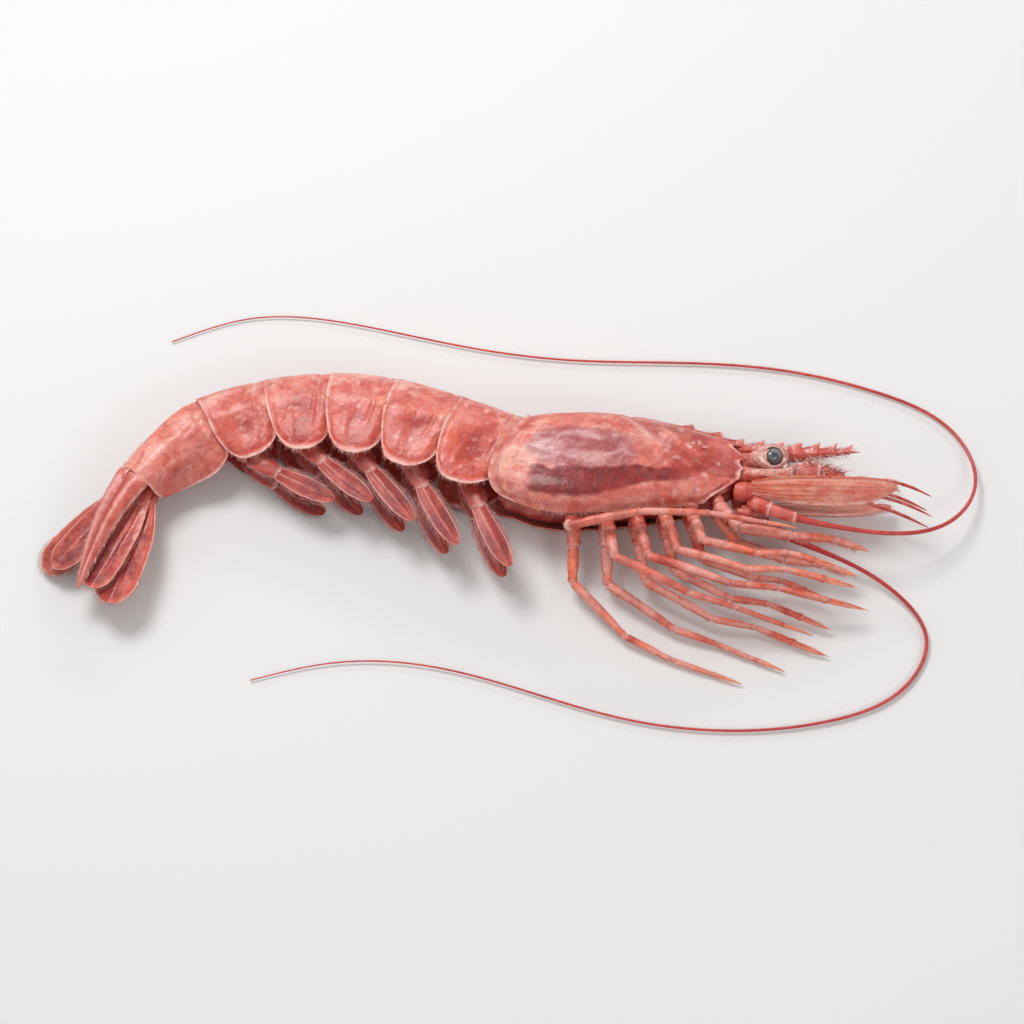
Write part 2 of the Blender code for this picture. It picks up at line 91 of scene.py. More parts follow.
# ------------------------------------------------------------------ curves and the body line
def curve_through(table):
    x = np.array([p[0] for p in table], float)
    y = np.array([p[1] for p in table], float)
    n, h = len(x), np.diff(x)
    a, r = np.eye(n), np.zeros(n)
    for i in range(1, n - 1):
        a[i, i - 1 : i + 2] = h[i - 1], 2 * (h[i - 1] + h[i]), h[i]
        r[i] = 6 * ((y[i + 1] - y[i]) / h[i] - (y[i] - y[i - 1]) / h[i - 1])
    m = np.linalg.solve(a, r)

    def at(q):
        q = np.clip(np.asarray(q, float), x[0], x[-1])
        i = np.clip(np.searchsorted(x, q) - 1, 0, n - 2)
        t, u = q - x[i], x[i + 1] - q
        return ((m[i] * u**3 + m[i + 1] * t**3) / (6 * h[i])
                + (y[i] / h[i] - m[i] * h[i] / 6) * u + (y[i + 1] / h[i] - m[i + 1] * h[i] / 6) * t)

    return at


heading, centre_z = curve_through(HEADING), curve_through(CENTRE_Z)
half_width, back, belly, flap = (curve_through(t) for t in (HALF_WIDTH, BACK, BELLY, FLAP))
c_width, c_back, c_depth = (curve_through(t) for t in (CARAPACE_WIDTH, CARAPACE_BACK, CARAPACE_DEPTH))
r_top, r_bottom = curve_through(ROSTRUM_TOP), curve_through(ROSTRUM_BOTTOM)
LINE_S = np.arange(-90, 140.01, 0.25)
_psi = np.radians(heading(LINE_S))
_dx, _dy = -np.cos(_psi), np.sin(_psi)
_x = np.concatenate([[0], np.cumsum((_dx[1:] + _dx[:-1]) / 2) * 0.25])
_y = np.concatenate([[0], np.cumsum((_dy[1:] + _dy[:-1]) / 2) * 0.25])
LINE_X = _x - np.interp(0, LINE_S, _x)
LINE_Y = _y - np.interp(0, LINE_S, _y)


def smooth(t):
    t = np.clip(t, 0.0, 1.0)
    return t * t * (3 - 2 * t)


def hump(x, centre, width):
    return np.exp(-(((x - centre) / width) ** 2))


def unit(a):
    a = np.asarray(a, float)
    return a / np.maximum(np.linalg.norm(a, axis=-1, keepdims=True), 1e-12)


def frames(s):
    s = np.asarray(s, float)
    psi = np.radians(heading(s))
    z = np.zeros_like(psi)
    p = np.stack([np.interp(s, LINE_S, LINE_X), np.interp(s, LINE_S, LINE_Y), centre_z(s)], -1)
    t = np.stack([-np.cos(psi), np.sin(psi), z], -1)
    d = np.stack([np.sin(psi), np.cos(psi), z], -1)
    l = np.stack([z, z, z + 1], -1)
    roll = np.radians(TAIL_TWIST) * smooth((s - 62) / 36)
    c, k = np.cos(roll)[..., None], np.sin(roll)[..., None]
    return p, t, d * c + l * k, l * c - d * k


def body(s, across, up):
    p, _, d, l = frames(s)
    return p + l * np.asarray(across)[..., None] + d * np.asarray(up)[..., None]


# ------------------------------------------------------------------ noise for relief and colour
def _hash(ix, iy, iz, seed):
    n = (ix * 73856093) ^ (iy * 19349663) ^ (iz * 83492791) ^ (seed * 265443576)
    n = (n ^ (n >> 13)) * 1274126177
    n &= 0x7FFFFFFF
    return ((n ^ (n >> 15)) & 0xFFFF) / 65535.0


def value_noise(p, size, seed=0):
    q = np.asarray(p, float) / size
    i = np.floor(q).astype(np.int64)
    f = q - i
    f = f * f * (3 - 2 * f)
    out = 0.0
    for a in (0, 1):
        for b in (0, 1):
            for c in (0, 1):
                w = ((f[..., 0] if a else 1 - f[..., 0]) * (f[..., 1] if b else 1 - f[..., 1])
                     * (f[..., 2] if c else 1 - f[..., 2]))
                out = out + w * _hash(i[..., 0] + a, i[..., 1] + b, i[..., 2] + c, seed)
    return out * 2 - 1


def fbm(p, size, octaves=3, seed=0):
    out, amp, total = 0.0, 1.0, 0.0
    for k in range(octaves):
        out = out + amp * value_noise(p, size / 2.1**k, seed + 17 * k)
        total += amp
        amp *= 0.5
    return out / total


def rgb(r, g, b):
    c = np.array([r, g, b], float) / 255
    return np.where(c <= 0.04045, c / 12.92, ((c + 0.055) / 1.055) ** 2.4)


def mix(a, b, f):
    f = np.clip(np.asarray(f, float), 0, 1)[..., None]
    return a * (1 - f) + b * f


PALE = rgb(234, 170, 158)
PINK = rgb(222, 128, 114)
SALMON = rgb(210, 98, 81)
CORAL = rgb(196, 68, 55)
ORANGE = rgb(214, 80, 45)
RED = rgb(156, 36, 35)
DEEP = rgb(92, 20, 27)
MAUVE = rgb(164, 88, 92)
LILAC = rgb(206, 152, 156)
BROWN = rgb(112, 50, 40)
OLIVE = rgb(152, 86, 62)
RIM = rgb(245, 200, 190)
CREAM = rgb(234, 168, 136)
WHITE = rgb(249, 228, 221)


# ------------------------------------------------------------------ mesh building
class Build:
    """Collects surfaces in millimetres of the layout and makes them one mesh."""

    def __init__(self):
        self.v, self.q, self.t, self.c, self.n = [], [], [], [], 0

    def add(self, points, quads=None, tris=None, colour=(1, 1, 1)):
        points = np.asarray(points, float).reshape(-1, 3)
        colour = np.broadcast_to(np.asarray(colour, float).reshape(-1, 3) if np.ndim(colour) > 1 else np.asarray(colour, float),
                                 points.shape)
        self.v.append(points)
        self.c.append(colour)
        if quads is not None and len(quads):
            self.q.append(np.asarray(quads, np.int64).reshape(-1, 4) + self.n)
        if tris is not None and len(tris):
            self.t.append(np.asarray(tris, np.int64).reshape(-1, 3) + self.n)
        self.n += len(points)

    def make(self, name, material, replaces=(), angle=None):
        v = np.concatenate(self.v)
        c = np.concatenate(self.c)
        q = np.concatenate(self.q) if self.q else np.zeros((0, 4), np.int64)
        t = np.concatenate(self.t) if self.t else np.zeros((0, 3), np.int64)
        # what lies on the table is pressed flat there
        z = v[:, 2]
        v = v.copy()
        v[:, 2] = np.where(z < 0.3, 0.02 + 0.28 * np.exp(np.minimum(z - 0.3, 0) / 0.28), z)
        me = bpy.data.meshes.new(name)
        me.vertices.add(len(v))
        me.vertices.foreach_set("co", ((v - ORIGIN) * MM).astype(np.float32).ravel())
        loops = np.concatenate([q.ravel(), t.ravel()])
        me.loops.add(len(loops))
        me.loops.foreach_set("vertex_index", loops.astype(np.int32))
        starts = np.concatenate([np.arange(len(q)) * 4, len(q) * 4 + np.arange(len(t)) * 3])
        me.polygons.add(len(starts))
        me.polygons.foreach_set("loop_start", starts.astype(np.int32))
        me.update(calc_edges=True)
        me.validate()
        attribute = me.attributes.new("tint", "FLOAT_COLOR", "POINT")
        attribute.data.foreach_set("color", np.concatenate([c, np.ones((len(c), 1))], 1).astype(np.float32).ravel())
        me.materials.append(material)
        me.shade_smooth()
        if angle:
            me.set_sharp_from_angle(angle=math.radians(angle))
        obj = bpy.data.objects.new(name, me)
        bpy.context.scene.collection.objects.link(obj)
        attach(obj, "root")
        if replaces:
            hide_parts(*replaces)
        return obj


def grid(nu, nv, wrap=False, flip=False, offset=0):
    i = np.arange(nu - 1)[:, None]
    j = np.arange(nv if wrap else nv - 1)[None, :]
    k = (j + 1) % nv
    a, b, c, d = i * nv + j, (i + 1) * nv + j, (i + 1) * nv + k, i * nv + k
    q = np.stack(np.broadcast_arrays(a, b, c, d), -1).reshape(-1, 4) + offset
    return q[:, ::-1] if flip else q


def normals(p, wrap=False):
    du = np.gradient(p, axis=0)
    if wrap:
        dv = (np.roll(p, -1, 1) - np.roll(p, 1, 1)) / 2
    else:
        dv = np.gradient(p, axis=1)
    return unit(np.cross(dv, du))


def shell(build, p, thick, colour, inside=None, flip=False):
    """A plate with the outer surface p and a thickness in mm, closed round its edges."""
    nu, nv = p.shape[:2]
    n = normals(p) * (-1 if flip else 1)
    thick = np.broadcast_to(np.asarray(thick, float), (nu, nv))[..., None]
    inner = p - n * thick
    colour = np.broadcast_to(np.asarray(colour, float), p.shape)
    # painted shade: unless given, the inner face is a darker copy of the outer colour
    inside = colour * 0.75 if inside is None else np.broadcast_to(np.asarray(inside, float), p.shape)
    outer_q = grid(nu, nv, flip=not flip)
    inner_q = grid(nu, nv, flip=flip, offset=nu * nv)
    idx = np.arange(nu * nv).reshape(nu, nv)
    ring = np.concatenate([idx[0, :-1], idx[:-1, -1], idx[-1, :0:-1], idx[:0:-1, 0]])
    nxt = np.roll(ring, -1)
    rim = np.stack([ring, nxt, nxt + nu * nv, ring + nu * nv], -1)
    if flip:
        rim = rim[:, ::-1]
    build.add(np.concatenate([p.reshape(-1, 3), inner.reshape(-1, 3)]), np.concatenate([outer_q, inner_q, rim]), None,
              np.concatenate([colour.reshape(-1, 3), inside.reshape(-1, 3)]))


def loft(build, p, colour):
    """A closed form through rings of points, closed at both ends, with its faces turned outward."""
    nu, nv = p.shape[:2]
    j = np.arange(nv)
    k = (j + 1) % nv
    m, base = nu * nv, (nu - 1) * nv
    quads = grid(nu, nv, wrap=True)
    tris = np.concatenate([np.stack([np.full(nv, m), j, k], -1), np.stack([np.full(nv, m + 1), base + k, base + j], -1)])
    pts = np.concatenate([p.reshape(-1, 3), p[0].mean(0)[None], p[-1].mean(0)[None]])
    o = pts.mean(0)
    a, b_, c, d = (pts[quads[:, i]] - o for i in range(4))
    volume = np.sum(a * np.cross(b_, c)) + np.sum(a * np.cross(c, d))
    if volume < 0:
        quads, tris = quads[:, ::-1], tris[:, ::-1]
    colour = np.broadcast_to(np.asarray(colour, float), p.shape)
    build.add(pts, quads, tris, np.concatenate([colour.reshape(-1, 3), colour[0].mean(0)[None], colour[-1].mean(0)[None]]))


def spline(route, n):
    route = np.asarray(route, float)
    length = np.concatenate([[0], np.cumsum(np.linalg.norm(np.diff(route, axis=0), axis=1))])
    coords = [curve_through(list(zip(length, route[:, k]))) for k in range(3)]
    at = np.linspace(0, length[-1], n)
    return np.stack([c(at) for c in coords], -1), at


def tube(build, path, radii, colour, sides=14, flat=None, ref=None, relief=None, painted_highlight_and_tones=0.0):
    """A closed round bar along a path. radii is one number at each point; flat scales it across ref, and
    painted_highlight_and_tones paints a patchy highlight on its upper side, makes its lower side creamier and mottles
    it red."""
    path = np.asarray(path, float)
    n = len(path)
    radii = np.broadcast_to(np.asarray(radii, float), (n,)).copy()
    tan = unit(np.gradient(path, axis=0))
    ref = np.array([0.0, 0, 1]) if ref is None else np.asarray(ref, float)
    if abs(np.dot(unit(ref), tan[0])) > 0.95:
        ref = np.array([0.0, 1, 0])
    side = np.zeros_like(path)
    side[0] = unit(ref - tan[0] * np.dot(ref, tan[0]))
    for i in range(1, n):
        v = side[i - 1] - tan[i] * np.dot(side[i - 1], tan[i])
        side[i] = unit(v)
    other = np.cross(tan, side)
    a = np.linspace(0, 2 * math.pi, sides, endpoint=False)
    flat = 1.0 if flat is None else np.asarray(flat, float)
    ra = (radii * flat)[:, None, None]
    rb = radii[:, None, None]
    ring = path[:, None, :] + side[:, None, :] * ra * np.cos(a)[None, :, None] + other[:, None, :] * rb * np.sin(a)[None, :, None]
    if relief is not None:
        centre = path[:, None, :]
        ring = ring + unit(ring - centre) * relief(ring)[..., None]
    colour = np.asarray(colour, float)
    if colour.ndim == 1:
        colour = np.broadcast_to(colour, (n, 3))
    col = np.repeat(colour[:, None, :], sides, 1)
    if painted_highlight_and_tones:
        # painted highlight: the upward-facing side is made paler in patches; the creamy underside and red mottle are
        # the limb's own colour
        lift = unit(ring - path[:, None, :])[..., 2]
        col = mix(col, PALE, painted_highlight_and_tones * smooth((lift - 0.15) / 0.6) * smooth(0.45 + 2.2 * fbm(ring * np.array([0.5, 0.5, 1]), 2.6, 3, 205)))
        col = mix(col, CREAM, 0.8 * painted_highlight_and_tones * smooth((-lift - 0.1) / 0.6))
        col = mix(col, RED, 0.55 * painted_highlight_and_tones * smooth(2.6 * fbm(ring, 1.7, 3, 206) - 0.15))
    pts = np.concatenate([ring.reshape(-1, 3), path[:1] - tan[:1] * radii[0] * 0.25, path[-1:] + tan[-1:] * radii[-1] * 0.25])
    cols = np.concatenate([col.reshape(-1, 3), colour[:1], colour[-1:]])
    first, last = n * sides, n * sides + 1
    j = np.arange(sides)
    k = (j + 1) % sides
    base = (n - 1) * sides
    tris = np.concatenate([np.stack([np.full(sides, first), k, j], -1), np.stack([np.full(sides, last), base + j, base + k], -1)])
    build.add(pts, grid(n, sides, wrap=True, flip=True), tris, cols)


def hairs(build, roots, along, length, radius, colour, bend=None, tip_colour=None):
    """Fine tapered bristles, one at each root."""
    roots, along = np.asarray(roots, float).reshape(-1, 3), unit(np.asarray(along, float).reshape(-1, 3))
    m = len(roots)
    length = np.broadcast_to(np.asarray(length, float), (m,))[:, None]
    radius = np.broadcast_to(np.asarray(radius, float), (m,))[:, None]
    bend = np.zeros((m, 3)) if bend is None else np.broadcast_to(np.asarray(bend, float), (m, 3))
    a = unit(np.cross(along, np.array([0.31, 0.42, 0.85])))
    b = np.cross(along, a)
    pts, cols = [], []
    colour = np.broadcast_to(np.asarray(colour, float), (m, 3))
    tip_colour = colour if tip_colour is None else np.broadcast_to(np.asarray(tip_colour, float), (m, 3))
    for t, w in ((0.0, 1.0), (0.4, 0.8), (0.75, 0.5)):
        c = roots + along * length * t + bend * length * t * t
        for q in range(3):
            g = 2 * math.pi * q / 3
            pts.append(c + (a * math.cos(g) + b * math.sin(g)) * radius * w)
            cols.append(colour * (1 - t) + tip_colour * t)
    pts.append(roots + along * length + bend * length)
    cols.append(tip_colour)
    pts = np.stack(pts, 1)
    cols = np.stack(cols, 1)
    base = np.arange(m)[:, None] * 10
    quads, tris = [], []
    for ring in (0, 3):
        for q in range(3):
            r = (q + 1) % 3
            quads.append(np.concatenate([base + ring + q, base + ring + r, base + ring + 3 + r, base + ring + 3 + q], 1))
    for q in range(3):
        tris.append(np.concatenate([base + 6 + q, base + 6 + (q + 1) % 3, base + 9], 1))
    tris.append(np.concatenate([base, base + 2, base + 1], 1))
    build.add(pts.reshape(-1, 3), np.concatenate(quads), np.concatenate(tris), cols.reshape(-1, 3))


def spine(build, root, along, length, radius, colour, tip, up=(0, 0, 0), sides=10):
    """A small curved thorn."""
    t = np.linspace(0, 1, 9)
    path = np.asarray(root, float) + np.outer(t, unit(along)) * length + np.outer(t * t, np.asarray(up, float)) * length
    tube(build, path, radius * (1 - t) ** 0.8 + 0.03, mix(np.broadcast_to(colour, (9, 3)), np.broadcast_to(tip, (9, 3)), t), sides)


# ------------------------------------------------------------------ materials
def skin(name, mottle=0.35, mottle_size=3.5, dot=0.35, dot_size=0.62, frost=0.35, rough=0.3, spread=0.16, bump=0.25,
         coat=0.5, coat_rough=0.07, soft=0.3, depth=1.2, light=RIM, dark=RED, fibre=0.0):
    """Wet mottled skin. Its colour starts from the tint on the mesh; noise adds clouds, red pigment dots and frosty specks."""
    m = bpy.data.materials.new(name)
    m.use_nodes = True
    nt = m.node_tree
    nt.nodes.clear()
    node = lambda kind, **k: _set(nt.nodes.new(kind), **k)
    link = nt.links.new
    out = node("ShaderNodeOutputMaterial")
    bs = node("ShaderNodeBsdfPrincipled")
    link(bs.outputs[0], out.inputs["Surface"])
    tc = node("ShaderNodeTexCoord")
    tint = node("ShaderNodeAttribute", attribute_name="tint", attribute_type="GEOMETRY")

    def noise(size, detail=3.0, rough_=0.55, distortion=0.0, stretch=None):
        n = node("ShaderNodeTexNoise")
        n.inputs["Scale"].default_value = 1000.0 / size
        n.inputs["Detail"].default_value = detail
        n.inputs["Roughness"].default_value = rough_
        n.inputs["Distortion"].default_value = distortion
        if stretch:
            mp = node("ShaderNodeMapping")
            mp.inputs["Scale"].default_value = stretch
            link(tc.outputs["Object"], mp.inputs["Vector"])
            link(mp.outputs[0], n.inputs["Vector"])
        else:
            link(tc.outputs["Object"], n.inputs["Vector"])
        return n.outputs["Fac"]

    def cells(size, feature="F1", rand=1.0):
        n = node("ShaderNodeTexVoronoi", feature=feature)
        n.inputs["Scale"].default_value = 1000.0 / size
        n.inputs["Randomness"].default_value = rand
        link(tc.outputs["Object"], n.inputs["Vector"])
        return n.outputs["Distance"]

    def ramp(fac, stops):
        n = node("ShaderNodeValToRGB")
        while len(n.color_ramp.elements) < len(stops):
            n.color_ramp.elements.new(0.5)
        for e, (pos, val) in zip(n.color_ramp.elements, stops):
            e.position = pos
            e.color = (val, val, val, 1) if np.ndim(val) == 0 else (*val, 1)
        link(fac, n.inputs["Fac"])
        return n.outputs["Color"]

    def math_(op, a, b):
        n = node("ShaderNodeMath", operation=op)
        for k, x in enumerate((a, b)):
            if isinstance(x, (int, float)):
                n.inputs[k].default_value = x
            else:
                link(x, n.inputs[k])
        return n.outputs[0]

    def blend(fac, a, b, kind="MIX"):
        n = node("ShaderNodeMix", data_type="RGBA", blend_type=kind)
        for sock, x in (("Factor_Float", fac), ("A_Color", a), ("B_Color", b)):
            s = next(i for i in n.inputs if i.identifier == sock)
            if isinstance(x, (int, float)):
                s.default_value = x
            elif isinstance(x, (tuple, list, np.ndarray)):
                s.default_value = (*x, 1)
            else:
                link(x, s)
        return next(o for o in n.outputs if o.identifier == "Result_Color")

    col = tint.outputs["Color"]
    split = node("ShaderNodeSeparateColor")
    link(col, split.inputs[0])
    open_ = ramp(split.outputs["Green"], [(0.008, 0.12), (0.10, 1.0)])  # little pale cloud on the darkest pigment
    clouds = noise(mottle_size * 2.4, 4.0, 0.6, 0.6)
    veins = noise(mottle_size, 5.0, 0.62, 1.2)
    col = blend(math_("MULTIPLY", math_("MULTIPLY", ramp(clouds, [(0.42, 0.0), (0.66, 1.0)]), open_), mottle * 0.75), col, light)
    col = blend(math_("MULTIPLY", ramp(veins, [(0.40, 1.0), (0.53, 0.0)]), mottle * 0.95), col, dark)
    if fibre:
        lines = noise(1.1, 2.0, 0.5, 0.4, (0.25, 1.0, 1.0))
        col = blend(math_("MULTIPLY", ramp(lines, [(0.5, 0.0), (0.62, 1.0)]), fibre), col, light)
    if dot:
        many = ramp(noise(5.5, 3.0, 0.6), [(0.38, 0.15), (0.62, 1.0)])
        spots = ramp(cells(dot_size), [(0.16, 1.0), (0.34, 0.0)])
        col = blend(math_("MULTIPLY", math_("MULTIPLY", spots, many), dot), col, dark)
        tiny = ramp(cells(dot_size * 0.52), [(0.14, 1.0), (0.3, 0.0)])
        col = blend(math_("MULTIPLY", tiny, dot * 0.55), col, dark)
    grain = ramp(noise(0.75, 3.0, 0.65), [(0.52, 0.0), (0.72, 1.0)])
    col = blend(math_("MULTIPLY", math_("MULTIPLY", grain, open_), frost * 0.5), col, light)
    flecks = math_("MULTIPLY", ramp(noise(1.7, 6.0, 0.75, 1.5), [(0.66, 0.0), (0.72, 1.0)]), ramp(noise(9.0, 2.0), [(0.46, 0.0), (0.6, 1.0)]))
    col = blend(math_("MULTIPLY", math_("MULTIPLY", flecks, open_), frost), col, WHITE)
    link(col, bs.inputs["Base Color"])
    r = ramp(noise(2.2, 4.0, 0.6), [(0.3, rough - spread), (0.7, rough + spread)])
    r = blend(math_("MULTIPLY", flecks, 0.5), r, (0.6, 0.6, 0.6))
    link(r, bs.inputs["Roughness"])
    height = math_("ADD", math_("MULTIPLY", noise(0.42, 4.0, 0.6), 0.5), math_("MULTIPLY", cells(0.55, "SMOOTH_F1"), 0.5))
    height = math_("ADD", height, math_("MULTIPLY", noise(2.4, 3.0, 0.5), 1.6))
    b = node("ShaderNodeBump")
    b.inputs["Strength"].default_value = bump
    b.inputs["Distance"].default_value = 0.00035
    link(height, b.inputs["Height"])
    link(b.outputs[0], bs.inputs["Normal"])
    bs.inputs["Coat Weight"].default_value = coat
    bs.inputs["Coat Roughness"].default_value = coat_rough
    bs.inputs["Specular IOR Level"].default_value = 0.5
    bs.inputs["IOR"].default_value = 1.45
    bs.inputs["Subsurface Weight"].default_value = soft
    bs.inputs["Subsurface Radius"].default_value = (1.0, 0.38, 0.28)
    bs.inputs["Subsurface Scale"].default_value = depth * MM
    return m


def _set(n, **k):
    for key, value in k.items():
        setattr(n, key, value)
    return n


SHELL = skin("wet_shell", mottle=0.38, dot=0.40, frost=0.30, rough=0.42, bump=0.42, coat=0.17, coat_rough=0.14, soft=0.16, depth=0.7, light=PALE)
LIMB = skin("wet_limb_shell", mottle=0.26, mottle_size=1.6, dot=0.30, dot_size=0.4, frost=0.3, rough=0.42, bump=0.3, coat=0.18, coat_rough=0.14, soft=0.16,
            depth=0.6, light=PALE)
SOFT = skin("wet_soft_parts", mottle=0.40, mottle_size=2.0, dot=0.34, dot_size=0.45, frost=0.3, rough=0.40, bump=0.35, coat=0.24, coat_rough=0.13, soft=0.25,
            depth=0.8, light=PALE)
FAN = skin("wet_fan", mottle=0.26, mottle_size=2.2, dot=0.40, dot_size=0.4, frost=0.16, rough=0.40, bump=0.35, coat=0.22, coat_rough=0.13, soft=0.18, depth=0.7,
           light=PALE, dark=DEEP, fibre=0.12)
FEELER = skin("feeler_skin", mottle=0.25, mottle_size=1.5, dot=0.15, dot_size=0.35, frost=0.2, rough=0.38, bump=0.15, coat=0.25, soft=0.10, dark=DEEP)
BRISTLE = skin("bristle", mottle=0.2, mottle_size=1.2, dot=0.0, frost=0.2, rough=0.42, bump=0.05, coat=0.1, soft=0.1, dark=CORAL)
PADDLE = skin("wet_paddle", mottle=0.30, mottle_size=2.0, dot=0.34, dot_size=0.45, frost=0.18, rough=0.46, spread=0.10, bump=0.16, coat=0.12,
              coat_rough=0.28, soft=0.25, depth=0.8, light=PALE, dark=DEEP)
EYE = skin("eye_skin", mottle=0.12, mottle_size=1.6, dot=0.0, frost=0.10, rough=0.16, spread=0.06, bump=0.05, coat=0.8, coat_rough=0.04,
           soft=0.0, light=rgb(120, 130, 134), dark=rgb(10, 10, 12))


# ------------------------------------------------------------------ abdomen
V1 = 0.55


def abdomen_section(s, v, lobe, proud):
    a = np.clip(np.abs(v) / V1, 0, 1) * math.pi / 2
    tau = np.clip((np.abs(v) - V1) / (1 - V1), 0, 1)
    w, hd, b = half_width(s) + proud, back(s) + proud, belly(s)
    hv = b * 0.62 + (flap(s) - b * 0.62) * lobe
    across = np.where(np.abs(v) < V1, w * np.sin(a) ** 0.94, w * (1 - 0.13 * tau**2))
    up = np.where(np.abs(v) < V1, hd * np.cos(a) ** 0.92, -hv * tau)
    keel = 0.75 * smooth((s - 36) / 16)
    up = up + keel * np.exp(-((a / 0.14) ** 2)) * (np.abs(v) < V1)
    return across * np.sign(v), up, tau


